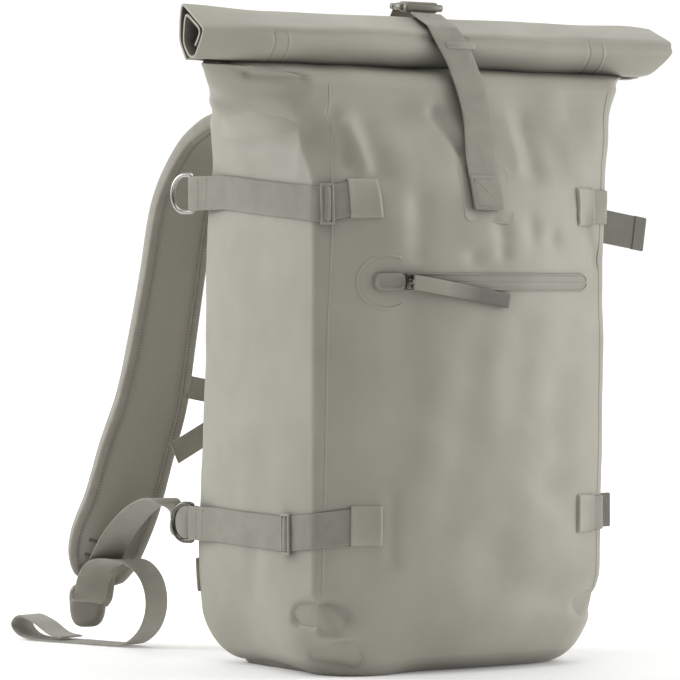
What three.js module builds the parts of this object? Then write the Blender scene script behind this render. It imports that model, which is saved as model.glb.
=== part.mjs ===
// Waterproof roll-top backpack, stuffed full and standing on its base.
// Millimetres, +Z up. The front panel faces -Y, the shoulder straps are on +Y,
// and the origin is the middle of the flat base.

import * as THREE from "three";

// Coated fabric, webbing and the clearance between pieces that lie on each other.
const WALL = 1.8;
const GAP = 0.6;
const WEBBING = { width: 30, thick: 1.6 };
const CHEST_WEBBING = { width: 21, thick: 1.4 };

// The stuffed bag: a row for each level, with the four corners of the section there
// and how far each panel bulges out between its corners.
const SECTIONS = [
  { z: 0, midX: 0, cornerX: 148, frontY: -88, backY: 104, frontBulge: 26, sideBulge: 5, backBulge: 5 },
  { z: 75, midX: 0, cornerX: 152, frontY: -90, backY: 106, frontBulge: 31, sideBulge: 7, backBulge: 6 },
  { z: 150, midX: 0, cornerX: 152, frontY: -91, backY: 102, frontBulge: 34, sideBulge: 7, backBulge: 7 },
  { z: 270, midX: 0, cornerX: 152, frontY: -91, backY: 97, frontBulge: 36, sideBulge: 7, backBulge: 7 },
  { z: 385, midX: 0, cornerX: 152, frontY: -91, backY: 93, frontBulge: 34, sideBulge: 6, backBulge: 5 },
  { z: 442, midX: 1, cornerX: 157, frontY: -87, backY: 84, frontBulge: 22, sideBulge: 7, backBulge: 3 },
  { z: 482, midX: 3, cornerX: 168, frontY: -78, backY: 64, frontBulge: 9, sideBulge: 13, backBulge: 1 },
  { z: 502, midX: -2, cornerX: 177, frontY: -68, backY: 32, frontBulge: 4, sideBulge: 22, backBulge: 0 },
  { z: 520, midX: -9, cornerX: 187, frontY: -53, backY: -31, frontBulge: 1, sideBulge: 31, backBulge: 0 },
];
const NECK_Z = 520;
const BASE_ROUND = { rise: 50, inset: 34 };
const CORNER_ROUND = 9;

// Dents and puckers of the full bag: where on the outline and at what height each is centred,
// how far it reaches sideways and up, and how deep it goes.
const DENTS = [
  { name: "left gusset hollow", place: 7.85, z: 466, reachSide: 24, reachUp: 34, depth: 9 },
  { name: "right gusset hollow", place: 2.5, z: 472, reachSide: 34, reachUp: 28, depth: 6 },
  { name: "front left base pucker", place: 7.7, z: 46, reachSide: 26, reachUp: 16, depth: 8 },
  { name: "front right base pucker", place: 1.4, z: 54, reachSide: 20, reachUp: 15, depth: 7 },
  { name: "hollow left of the strap", place: 0.32, z: 470, reachSide: 44, reachUp: 26, depth: 5 },
  { name: "hollow right of the strap", place: 0.74, z: 464, reachSide: 40, reachUp: 28, depth: 5 },
  { name: "left side hollow", place: 6.5, z: 250, reachSide: 50, reachUp: 70, depth: 3 },
];

// How finely the outline and the height of the bag are divided.
const OUTLINE_STEPS = { front: 15, side: 6, back: 6, corner: 3 };
const LEVELS = [
  0, 2, 7, 15, 26, 38, 50, 70, 100, 135, 175, 220, 265, 310, 350, 385,
  410, 430, 448, 463, 476, 488, 498, 506, 512, NECK_Z,
];

// The rolled neck: the corners of its outer turn round its middle, from the back of the neck
// over the top and down the front.
const ROLL = { halfLength: 246.5, midY: -56, midZ: 543, thick: 2.6, turns: 1.7, shrink: 0.34, round: 4 };
const ROLL_CORNERS = [
  { y: 14, z: -23.3 },
  { y: 26, z: 25 },
  { y: -14, z: 8 },
  { y: -17, z: -14 },
  { y: -8, z: -21.2 },
  { y: 8, z: -20.8 },
];
const ROLL_END = { reach: 26, pinch: 0.16, rightSlant: 9, leftFlare: 0.06 };

// The closing strap, how far it stands off what it passes, its patch and its hardware.
const TOP_STRAP = { x: 6, rollX: 10, buckleX: 0, endZ: 398, lift: 2.8, leaveLift: 3.8, sag: 0.8 };
const STRAP_ON_ROLL = { below: 12, belowOff: 3.6, cornerOff: 1, cornerUp: 1.5, rearUp: 0.4 };
const STRAP_OVER_ROLL = [
  { share: 0.12, rise: 2.4 },
  { share: 0.5, rise: 1.6 },
  { share: 0.89, rise: 1 },
];
const STRAP_BEHIND = { endZ: 446, meetZ: 462, lift: 1.3, meetLift: 2, out: 6, down: 8, slack: 4 };
const PATCH = { width: 44, low: 387, high: 438, thick: 0.9, endShare: 0.84 };
const BUCKLE = { width: 38, length: 28, thick: 9, round: 5, rearShare: 0.42, riseShare: 0.45, flatten: 0.75 };
const KEEPER = { width: 36, height: 7, thick: 3.4, round: 2, clear: 1.2, up: 0.5 };

// The pocket zip.
const ZIP = { z: 336, fromX: -76, toX: 123, height: 17, thick: 1.4 };
const GARAGE = { fromX: -100, toX: -78, height: 18, thick: 5 };
const ZIP_SLIDER = { x: -71, width: 9, height: 15, thick: 6, round: 2 };
const ZIP_PULL = { fromX: -64, toX: 24, width: 15, thick: 2, drop: 15, startLift: 5.4, endLift: 3.3 };

// Side straps: the outline place of the slider, the heights of the front and the back end,
// the length of a loose end and how far off the slider it starts.
// Their welded patches lie between two outline places on the front panel.
const SIDE_STRAPS = [
  { name: "upper_left", hand: -1, slider: 8.008, frontZ: 406, backZ: 415, tail: 0, tailOff: 0 },
  { name: "lower_left", hand: -1, slider: 6.9, frontZ: 126, backZ: 121, tail: 0, tailOff: 0 },
  { name: "upper_right", hand: 1, slider: 2.2, frontZ: 402, backZ: 413, tail: 62, tailOff: 2.8 },
  { name: "lower_right", hand: 1, slider: 2.2, frontZ: 133, backZ: 123, tail: 30, tailOff: 3.8 },
];
const SIDE_PATCH = { height: 34, thick: 3, clear: 0.003 };
const PATCH_PLACES = { left: { inner: 0.19, outer: 0.1 }, right: { inner: 0.87, outer: 0.96 } };
const TRIGLIDE = { width: 12, height: 35, thick: 2.4, slot: 3, bar: 2, clear: 0.4 };
const SIDE_TAIL = { back: 4, low: 4, droop: 0.34 };
const RING = { wire: 3.6, height: 38, reach: 32, x: 160.5, barY: 114, leavePlace: 6.12 };

// Left shoulder pad: its middle line, width, thickness and how far its inner edge turns to the bag.
const PAD_ROWS = [
  { x: -56, y: 95.5, z: 428, width: 56, thick: 9, turn: 0 },
  { x: -59, y: 100, z: 450, width: 58, thick: 10, turn: 0 },
  { x: -64, y: 122, z: 473, width: 60, thick: 12, turn: 0 },
  { x: -73, y: 158, z: 481, width: 62, thick: 13, turn: 0 },
  { x: -83, y: 187, z: 465, width: 62, thick: 13, turn: 0 },
  { x: -94, y: 205, z: 436, width: 62, thick: 13, turn: 2 },
  { x: -102, y: 217, z: 402, width: 61, thick: 13, turn: 4 },
  { x: -106, y: 229, z: 342, width: 61, thick: 13, turn: 6 },
  { x: -110, y: 241, z: 283, width: 63, thick: 13, turn: 9 },
  { x: -114, y: 254, z: 227, width: 67, thick: 13, turn: 13 },
  { x: -121, y: 270, z: 180, width: 70, thick: 13, turn: 17 },
  { x: -126, y: 288, z: 132, width: 71, thick: 13, turn: 20 },
  { x: -134, y: 303, z: 94, width: 70, thick: 12, turn: 22 },
  { x: -138.4, y: 313, z: 58.6, width: 46, thick: 8, turn: 22 },
];
const PAD_STEPS = 22;
const PAD_SIDES = 12;

// Adjuster at the lower end of the left pad.
const LADDER_LOCK = { width: 38, length: 42, thick: 8, round: 5, slot: 3.6, slotRound: 1.5, side: 4 };
const LADDER_PLACE = { x: -141, y: 319.6, z: 35.7, tip: 10, turn: 22 };

// Middle line of the left webbing that runs from the adjuster up and over to the lower ring,
// and how flat it lies: 1 is level, 0 is upright.
const LOWER_STRAP_ROWS = [
  { x: -140, y: 311.5, z: 44, flat: 1 },
  { x: -140, y: 305.5, z: 64, flat: 1 },
  { x: -141, y: 293, z: 86, flat: 1 },
  { x: -143, y: 267, z: 112, flat: 1 },
  { x: -146, y: 232, z: 134, flat: 1 },
  { x: -150, y: 198, z: 143, flat: 1 },
  { x: -156, y: 172, z: 137, flat: 0.5 },
  { x: -162, y: 154, z: 124, flat: 0.05 },
  { x: -164, y: 143, z: 121.5, flat: 0 },
  { x: -163.6, y: 128, z: 121.5, flat: 0 },
];
// Middle line of the loose webbing below the left adjuster: how far out of the adjuster towards the bag,
// its height over the floor, and how far it is turned about the upright.
const TAIL = { x: -141, y: 312.4, floorZ: 1.5, planeTurn: 19 };
const TAIL_ROWS = [
  { out: 8, up: 40, turn: -22 },
  { out: 10, up: 58, turn: -22 },
  { out: 18, up: 70, turn: -20 },
  { out: 34, up: 77, turn: -8 },
  { out: 54, up: 76, turn: 8 },
  { out: 70, up: 62, turn: 16 },
  { out: 76, up: 40, turn: 19 },
  { out: 69, up: 18, turn: 19 },
  { out: 51, up: 3, turn: 19 },
  { out: 30, up: 0, turn: 19 },
  { out: -20, up: 0, turn: 19 },
  { out: -68, up: 0, turn: 19 },
  { out: -86, up: 4, turn: 19 },
  { out: -94, up: 13, turn: 19 },
  { out: -86, up: 21, turn: 19 },
  { out: -66, up: 16, turn: 19 },
  { out: -46, up: 6, turn: 19 },
  { out: -30, up: 3.4, turn: 19 },
];

// Chest strap between the pads.
const CHEST = { padShare: 0.66, padSide: 0.93, padThin: 0.63, sag: 2, clear: 1.4 };
const CHEST_BUCKLE = { y: 226, z: 230, width: 42, height: 26, thick: 9 };
const CHEST_TAIL_ROWS = [
  { x: -26.6, y: 224.4, z: 223 },
  { x: -52, y: 222, z: 209 },
  { x: -82, y: 220, z: 194 },
  { x: -110, y: 218, z: 180 },
];
const CORNER_TAB = { place: 5.2, low: 62, high: 92, span: 0.5, thick: 3 };

const COLOURS = { fabric: 0x9a978a, webbing: 0x8a877a, mesh: 0x6f6b60, plastic: 0x5c5a50, steel: 0xb4b2aa };

const UP = new THREE.Vector3(0, 0, 1);
const vector = (x, y, z) => new THREE.Vector3(x, y, z);
const mix = (a, b, t) => a + (b - a) * t;

// A smooth reader of a table: the row at any value of its leading column.
function smoothTable(rows, lead) {
  const columns = Object.keys(rows[0]).filter((key) => typeof rows[0][key] === "number" && key !== lead);
  const values = rows.flatMap((row) => columns.map((key) => row[key]));
  const leads = rows.map((row) => row[lead]);
  const reader = new THREE.CubicInterpolant(leads, values, columns.length, new Float32Array(columns.length));
  return (at) => {
    const read = reader.evaluate(THREE.MathUtils.clamp(at, leads[0], leads[leads.length - 1]));
    return Object.fromEntries(columns.map((key, i) => [key, read[i]]));
  };
}

const sectionTable = smoothTable(SECTIONS, "z");

// The section at a level, taken in by the rounding of the base and by an inset for the inside.
function sectionAt(z, inset) {
  const row = sectionTable(z);
  const below = Math.min(Math.max(BASE_ROUND.rise - z, 0) / (BASE_ROUND.rise - inset), 1);
  const taken = inset + BASE_ROUND.inset * (1 - Math.sqrt(1 - below * below));
  const full = 1 - 0.45 * below * below;
  return {
    midX: row.midX,
    cornerX: row.cornerX - taken,
    frontY: row.frontY + taken,
    backY: row.backY - taken,
    frontBulge: row.frontBulge * full,
    sideBulge: row.sideBulge * full,
    backBulge: row.backBulge * full,
  };
}

// A point on one of the four panels, from -1 at its first corner to 1 at its last.
function panelPoint(section, panel, along) {
  const out = 1 - along * along;
  const midY = (section.frontY + section.backY) / 2;
  const halfY = (section.backY - section.frontY) / 2;
  if (panel === 0) return vector(along * section.cornerX, section.frontY - section.frontBulge * out, 0);
  if (panel === 1) return vector(section.cornerX + section.sideBulge * out, midY + along * halfY, 0);
  if (panel === 2) return vector(-along * section.cornerX, section.backY + section.backBulge * out, 0);
  return vector(-section.cornerX - section.sideBulge * out, midY - along * halfY, 0);
}

// The outline of the bag: whole places 0, 2, 4 and 6 begin the front, right, back and left panels,
// and the odd ones begin the rounded corners between them.
function outlinePoint(place, z, inset) {
  const section = sectionAt(z, inset);
  const wrapped = ((place % 8) + 8) % 8;
  const leg = Math.floor(wrapped);
  const share = wrapped - leg;
  const panel = leg >> 1;
  const halfY = (section.backY - section.frontY) / 2;
  const trim = (index) => Math.min(0.42, CORNER_ROUND / (index % 2 ? halfY : section.cornerX));
  const next = (panel + 1) % 4;
  const point =
    leg % 2 === 0
      ? panelPoint(section, panel, mix(-1 + trim(panel), 1 - trim(panel), share))
      : new THREE.QuadraticBezierCurve3(
          panelPoint(section, panel, 1 - trim(panel)),
          panelPoint(section, panel, 1),
          panelPoint(section, next, -1 + trim(next)),
        ).getPoint(share);
  point.x += section.midX;
  return point.setZ(z);
}

// Outward direction of the bag's surface.
function outward(place, z) {
  const stepPlace = 0.01;
  const stepZ = 0.5;
  const low = Math.max(z - stepZ, 0);
  const high = Math.min(z + stepZ, NECK_Z);
  const side = outlinePoint(place + stepPlace, z, 0).sub(outlinePoint(place - stepPlace, z, 0));
  const rise = outlinePoint(place, high, 0).sub(outlinePoint(place, low, 0));
  return side.cross(rise).normalize();
}

// How far the dents take the surface in at a point.
function dentAt(point) {
  let depth = 0;
  for (const dent of DENTS) {
    const middle = outlinePoint(dent.place, dent.z, 0);
    const side = Math.hypot(point.x - middle.x, point.y - middle.y) / dent.reachSide;
    const up = (point.z - middle.z) / dent.reachUp;
    depth += dent.depth * Math.exp(-side * side - up * up);
  }
  return depth;
}

// The bag's surface, lifted off by a clearance, or the inside of its wall.
function skin(place, z, lift = 0, inset = 0) {
  const point = outlinePoint(place, z, inset);
  const out = outward(place, z);
  const dent = dentAt(outlinePoint(place, z, 0));
  const level = point.z;
  point.addScaledVector(out, lift - dent);
  if (lift === 0) point.z = level;
  return point;
}

// Place on the front panel whose middle line is at a given X.
const frontPlace = (x, z) => {
  const { cornerX, midX } = sectionAt(z, 0);
  return ((x - midX) / (cornerX - CORNER_ROUND) + 1) / 2;
};

// Closed solid through rings of equal point counts; open runs are closed by fans round the ends' middles.
function loft(rings, looped = false) {
  const count = rings[0].length;
  const points = rings.flat();
  const index = [];
  const spans = looped ? rings.length : rings.length - 1;
  for (let ring = 0; ring < spans; ring++) {
    const here = ring * count;
    const there = ((ring + 1) % rings.length) * count;
    for (let i = 0; i < count; i++) {
      const j = (i + 1) % count;
      index.push(here + i, here + j, there + j, here + i, there + j, there + i);
    }
  }
  if (!looped) {
    const closeEnd = (ring, first, flip) => {
      const middle = points.length;
      points.push(ring.reduce((sum, p) => sum.add(p), vector(0, 0, 0)).divideScalar(count));
      for (let i = 0; i < count; i++) {
        const j = (i + 1) % count;
        index.push(middle, first + (flip ? j : i), first + (flip ? i : j));
      }
    };
    closeEnd(rings[0], 0, true);
    closeEnd(rings[rings.length - 1], (rings.length - 1) * count, false);
  }
  let volume = 0;
  for (let i = 0; i < index.length; i += 3) {
    const [a, b, c] = [points[index[i]], points[index[i + 1]], points[index[i + 2]]];
    volume += a.dot(vector(0, 0, 0).crossVectors(b, c));
  }
  if (volume < 0) index.reverse();
  const geometry = new THREE.BufferGeometry().setFromPoints(points);
  geometry.setIndex(index);
  geometry.computeVertexNormals();
  return geometry;
}

// Flat webbing along stations of a middle point and the direction across it.
function webbing(stations, size = WEBBING) {
  const last = stations.length - 1;
  const rings = stations.map(({ at, across }, i) => {
    const before = stations[Math.max(i - 1, 0)].at;
    const after = stations[Math.min(i + 1, last)].at;
    const along = after.clone().sub(before).normalize();
    const side = across.clone().addScaledVector(along, -across.dot(along)).normalize();
    const face = vector(0, 0, 0).crossVectors(along, side);
    const corner = (s, f) =>
      at.clone().addScaledVector(side, (s * size.width) / 2).addScaledVector(face, (f * size.thick) / 2);
    return [corner(-1, -1), corner(1, -1), corner(1, 1), corner(-1, 1)];
  });
  return loft(rings);
}

// Evenly spaced stations on a smooth curve through points, with one direction across or one for each share.
function stationsOn(points, steps, acrossAt) {
  const curve = new THREE.CatmullRomCurve3(points, false, "centripetal");
  return Array.from({ length: steps + 1 }, (unused, i) => {
    const share = i / steps;
    return { at: curve.getPointAt(share), across: acrossAt(share) };
  });
}

// The outline place that lies a given distance further round the bag.
function walk(place, z, distance) {
  const step = 0.002 * Math.sign(distance);
  let left = Math.abs(distance);
  let at = place;
  while (left > 0) {
    const from = skin(at, z);
    at += step;
    left -= skin(at, z).distanceTo(from);
  }
  return at;
}

// Outline places from one to another, closer together round the corners.
function placesBetween(from, to) {
  const steps = { panel: 8, corner: 4 };
  const places = [from];
  const turn = Math.sign(to - from);
  while (places[places.length - 1] !== to) {
    const here = places[places.length - 1];
    const leg = turn > 0 ? Math.floor(here + 1e-6) : Math.ceil(here - 1e-6) - 1;
    const next = here + turn / (leg % 2 ? steps.corner : steps.panel);
    places.push((to - next) * turn < 0.02 ? to : next);
  }
  return places;
}

// Rings of a flat band that follows the bag's surface; each place has the height of the band's middle.
function bandOnSkin(places, heightAt, width, thick, lift) {
  return places.map((place, i) => {
    const middle = heightAt(i / (places.length - 1));
    const levels = [middle - width / 2, middle, middle + width / 2];
    const inner = levels.map((z) => skin(place, z, lift));
    const outer = levels.map((z) => skin(place, z, lift + thick)).reverse();
    return [...inner, ...outer];
  });
}

// A plate on the bag's surface between two outline places and two heights, narrower at its two ends.
function patchOnSkin(from, to, low, high, thick, steps = 6) {
  const places = Array.from({ length: steps + 1 }, (unused, i) => mix(from, to, i / steps));
  const middle = (low + high) / 2;
  const rings = bandOnSkin(places, () => middle, high - low, thick, GAP);
  for (const end of [0, steps]) {
    const height = PATCH.endShare * (high - low);
    rings[end] = bandOnSkin([places[end], places[end]], () => middle, height, thick, GAP)[0];
  }
  return loft(rings);
}

// A rectangle with round corners, as a shape or as a hole.
function roundRectangle(width, height, round, Kind = THREE.Shape, midX = 0, midY = 0) {
  const path = new Kind();
  const [w, h] = [width / 2, height / 2];
  path.moveTo(midX - w + round, midY - h);
  path.lineTo(midX + w - round, midY - h);
  path.quadraticCurveTo(midX + w, midY - h, midX + w, midY - h + round);
  path.lineTo(midX + w, midY + h - round);
  path.quadraticCurveTo(midX + w, midY + h, midX + w - round, midY + h);
  path.lineTo(midX - w + round, midY + h);
  path.quadraticCurveTo(midX - w, midY + h, midX - w, midY + h - round);
  path.lineTo(midX - w, midY - h + round);
  path.quadraticCurveTo(midX - w, midY - h, midX - w + round, midY - h);
  return path;
}

// A plate cut to a shape, its thickness centred.
function plate(shape, thick) {
  const geometry = new THREE.ExtrudeGeometry(shape, { depth: thick, bevelEnabled: false, curveSegments: 2 });
  return geometry.translate(0, 0, -thick / 2);
}

// Turns a geometry so that its X, Y and Z lie along the given directions at a place.
function placed(geometry, at, alongX, alongY) {
  const x = alongX.clone().normalize();
  const z = vector(0, 0, 0).crossVectors(x, alongY).normalize();
  const y = vector(0, 0, 0).crossVectors(z, x);
  const matrix = new THREE.Matrix4().makeBasis(x, y, z).setPosition(at);
  return geometry.applyMatrix4(matrix);
}

const group = new THREE.Group();

function add(name, geometry, colour, metal = 0) {
  const material = new THREE.MeshStandardMaterial({ color: colour, roughness: 0.6, metalness: metal });
  const mesh = new THREE.Mesh(geometry, material);
  mesh.name = name;
  group.add(mesh);
  return mesh;
}

// A piece of the left shoulder strap and its mirror image on the right.
function addPair(name, geometry, colour) {
  add(name + "_left", geometry, colour);
  add(name + "_right", geometry.clone(), colour).scale.x = -1;
}

// Bag shell: the outside from the base to the neck, then the inside back down.
const outlinePlaces = [];
for (const leg of ["front", "side", "back", "side"]) {
  const start = outlinePlaces.length ? Math.ceil(outlinePlaces[outlinePlaces.length - 1]) : 0;
  for (let i = 0; i < OUTLINE_STEPS[leg]; i++) outlinePlaces.push(start + i / OUTLINE_STEPS[leg]);
  for (let i = 0; i < OUTLINE_STEPS.corner; i++) outlinePlaces.push(start + 1 + i / OUTLINE_STEPS.corner);
}
const outerRings = LEVELS.map((z) => outlinePlaces.map((place) => skin(place, z)));
const innerRings = LEVELS.map((z) => {
  const level = z < BASE_ROUND.rise ? WALL + (z * (BASE_ROUND.rise - WALL)) / BASE_ROUND.rise : z;
  return outlinePlaces.map((place) => skin(place, level, 0, WALL));
});
add("bag_shell", loft([...outerRings, ...innerRings.reverse()]), COLOURS.fabric);

// Roll top: a strip wound inwards from the back of the neck, with pinched ends.
function rollLine() {
  const count = Math.round(ROLL.turns * ROLL_CORNERS.length) + 1;
  const corners = Array.from({ length: count }, (unused, i) => {
    const corner = ROLL_CORNERS[i % ROLL_CORNERS.length];
    const size = 1 - (ROLL.shrink * Math.max(i - 2, 0)) / ROLL_CORNERS.length;
    return new THREE.Vector2(ROLL.midY + corner.y * size, ROLL.midZ + corner.z * size);
  });
  const path = new THREE.Path().moveTo(corners[0].x, corners[0].y);
  for (let i = 1; i < count - 1; i++) {
    const toward = (other) => {
      const step = corners[other].clone().sub(corners[i]);
      return corners[i].clone().addScaledVector(step, Math.min(0.45, ROLL.round / step.length()));
    };
    const [before, after] = [toward(i - 1), toward(i + 1)];
    path.lineTo(before.x, before.y);
    path.quadraticCurveTo(corners[i].x, corners[i].y, after.x, after.y);
  }
  path.lineTo(corners[count - 1].x, corners[count - 1].y);
  return path.getPoints(2);
}
function rollSolid() {
  const line = rollLine();
  const side = (sign) =>
    line.map((point, i) => {
      const along = line[Math.min(i + 1, line.length - 1)].clone().sub(line[Math.max(i - 1, 0)]).normalize();
      return new THREE.Vector2(point.x - along.y * sign, point.y + along.x * sign);
    });
  const strip = [...side(ROLL.thick / 2), ...side(-ROLL.thick / 2).reverse()];
  const depth = 2 * ROLL.halfLength;
  const shape = new THREE.Shape(strip);
  const geometry = new THREE.ExtrudeGeometry(shape, { depth, steps: 9, bevelEnabled: false });
  const place = geometry.getAttribute("position");
  for (let i = 0; i < place.count; i++) {
    const [y, z] = [place.getX(i), place.getY(i)];
    const x = place.getZ(i) - ROLL.halfLength;
    const end = Math.max(0, Math.abs(x) - ROLL.halfLength + ROLL_END.reach) / ROLL_END.reach;
    const higher = Math.max(0, (z - ROLL.midZ) / ROLL_CORNERS[1].z);
    const flares = x < 0 && higher > 0;
    const size = 1 + (flares ? ROLL_END.leftFlare * higher : -ROLL_END.pinch) * end * end;
    const slant = x > 0 ? ROLL_END.rightSlant * end * higher : 0;
    place.setXYZ(i, x - slant, mix(ROLL.midY, y, size), mix(ROLL.midZ, z, size));
  }
  geometry.deleteAttribute("normal");
  geometry.deleteAttribute("uv");
  geometry.computeVertexNormals();
  return geometry;
}
add("roll_top", rollSolid(), COLOURS.fabric);

// Closing strap: from its patch on the front up to the roll, over it to the buckle, and down behind.
const patchHalf = PATCH.width / 2;
add(
  "front_patch",
  patchOnSkin(
    frontPlace(TOP_STRAP.x - patchHalf, PATCH.low),
    frontPlace(TOP_STRAP.x + patchHalf, PATCH.low),
    PATCH.low,
    PATCH.high,
    PATCH.thick,
  ),
  COLOURS.fabric,
);
const rollFrontY = ROLL.midY + ROLL_CORNERS[2].y;
const rollRearY = ROLL.midY + ROLL_CORNERS[1].y;
const rollClear = ROLL.thick / 2 + GAP + WEBBING.thick;
const strapStart = skin(frontPlace(TOP_STRAP.x, TOP_STRAP.endZ), TOP_STRAP.endZ, TOP_STRAP.lift);
const strapLeave = skin(frontPlace(TOP_STRAP.x, PATCH.high), PATCH.high, TOP_STRAP.leaveLift);
const frontCorner = vector(
  TOP_STRAP.rollX,
  rollFrontY - rollClear - STRAP_ON_ROLL.cornerOff,
  ROLL.midZ + ROLL_CORNERS[2].z + STRAP_ON_ROLL.cornerUp,
);
const rearCorner = vector(
  TOP_STRAP.buckleX,
  rollRearY,
  ROLL.midZ + ROLL_CORNERS[1].z + rollClear + STRAP_ON_ROLL.rearUp,
);
const belowCorner = vector(
  TOP_STRAP.rollX,
  rollFrontY - rollClear - STRAP_ON_ROLL.belowOff,
  ROLL.midZ - STRAP_ON_ROLL.below,
);
const overRoll = STRAP_OVER_ROLL.map(({ share, rise }) =>
  frontCorner.clone().lerp(rearCorner, share).addScaledVector(UP, rise),
);
const topLine = [
  strapStart,
  strapStart.clone().lerp(strapLeave, 0.5).add(vector(0, -TOP_STRAP.sag, 0)),
  strapLeave,
  belowCorner,
  frontCorner,
  ...overRoll,
];
add("top_strap", webbing(stationsOn(topLine, 22, () => vector(1, 0, 0))), COLOURS.webbing);

const strapRise = frontCorner.clone().sub(belowCorner).normalize();
const keeperY = frontCorner.y - WEBBING.thick - KEEPER.thick / 2 - KEEPER.clear;
const keeperShape = roundRectangle(KEEPER.width, KEEPER.height, KEEPER.round);
add(
  "top_keeper",
  placed(
    plate(keeperShape, KEEPER.thick),
    vector(TOP_STRAP.rollX, keeperY, ROLL.midZ + KEEPER.up),
    vector(1, 0, 0),
    strapRise,
  ),
  COLOURS.plastic,
);

const buckleSlope = rearCorner.clone().sub(frontCorner).setX(0).normalize();
buckleSlope.lerp(vector(0, 1, 0), BUCKLE.flatten);
const buckleAt = rearCorner
  .clone()
  .add(vector(0, BUCKLE.length * BUCKLE.rearShare, BUCKLE.thick * BUCKLE.riseShare));
const buckleShape = roundRectangle(BUCKLE.width, BUCKLE.length, BUCKLE.round);
add(
  "top_buckle",
  placed(plate(buckleShape, BUCKLE.thick), buckleAt, vector(1, 0, 0), buckleSlope),
  COLOURS.plastic,
);

const middleBack = 4.5;
const behind = buckleAt.clone().add(vector(0, BUCKLE.length / 2 + 2 * GAP, -2 * GAP));
const backEnd = skin(middleBack, STRAP_BEHIND.endZ, STRAP_BEHIND.lift);
const backLine = [
  behind,
  behind.clone().add(vector(0, STRAP_BEHIND.out, -STRAP_BEHIND.down)),
  behind.clone().lerp(backEnd, 0.5).add(vector(0, STRAP_BEHIND.slack, STRAP_BEHIND.slack / 2)),
  skin(middleBack, STRAP_BEHIND.meetZ, STRAP_BEHIND.meetLift),
  backEnd,
];
add("top_strap_back", webbing(stationsOn(backLine, 12, () => vector(1, 0, 0))), COLOURS.webbing);

// Pocket zip.
const zipLow = ZIP.z - ZIP.height / 2;
const onFront = (x) => frontPlace(x, ZIP.z);
add(
  "zip_tape",
  patchOnSkin(onFront(ZIP.fromX), onFront(ZIP.toX), zipLow, zipLow + ZIP.height, ZIP.thick, 12),
  COLOURS.plastic,
);
add(
  "zip_garage",
  patchOnSkin(
    onFront(GARAGE.fromX),
    onFront(GARAGE.toX),
    ZIP.z - GARAGE.height / 2,
    ZIP.z + GARAGE.height / 2,
    GARAGE.thick,
    4,
  ),
  COLOURS.plastic,
);
const sliderPlace = onFront(ZIP_SLIDER.x);
const sliderAlong = skin(sliderPlace + 0.02, ZIP.z).sub(skin(sliderPlace - 0.02, ZIP.z));
add(
  "zip_slider",
  placed(
    plate(roundRectangle(ZIP_SLIDER.width, ZIP_SLIDER.height, ZIP_SLIDER.round), ZIP_SLIDER.thick),
    skin(sliderPlace, ZIP.z, GAP + ZIP.thick + GAP + ZIP_SLIDER.thick / 2),
    sliderAlong,
    UP,
  ),
  COLOURS.steel,
  1,
);
const pullSize = { width: ZIP_PULL.width, thick: ZIP_PULL.thick };
const pullLine = [0, 0.25, 0.5, 0.75, 1].map((share) => {
  const x = mix(ZIP_PULL.fromX, ZIP_PULL.toX, share);
  const lift = mix(ZIP_PULL.startLift, ZIP_PULL.endLift, share);
  return skin(onFront(x), ZIP.z - ZIP_PULL.drop * share, lift);
});
add("zip_pull", webbing(stationsOn(pullLine, 8, () => UP), pullSize), COLOURS.webbing);

// Side straps.
function ringSolid(at, out, back) {
  const halfHeight = RING.height / 2 - RING.wire / 2;
  const line = new THREE.Path();
  line.moveTo(0, -halfHeight);
  line.lineTo(0, halfHeight);
  line.lineTo(RING.reach * 0.3, halfHeight);
  line.bezierCurveTo(RING.reach, halfHeight, RING.reach, -halfHeight, RING.reach * 0.3, -halfHeight);
  const points = line.getSpacedPoints(22);
  const wireSides = 5;
  const rings = points.map((point, i) => {
    const before = points[(i + points.length - 1) % points.length];
    const after = points[(i + 1) % points.length];
    const along = after.clone().sub(before).normalize();
    const middle = at.clone().addScaledVector(back, point.x).addScaledVector(UP, point.y);
    const across = vector(0, 0, 0).addScaledVector(back, -along.y).addScaledVector(UP, along.x);
    return Array.from({ length: wireSides }, (unused, k) => {
      const angle = (2 * Math.PI * k) / wireSides;
      return middle
        .clone()
        .addScaledVector(across, (Math.cos(angle) * RING.wire) / 2)
        .addScaledVector(out, (Math.sin(angle) * RING.wire) / 2);
    });
  });
  return loft(rings, true);
}

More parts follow.
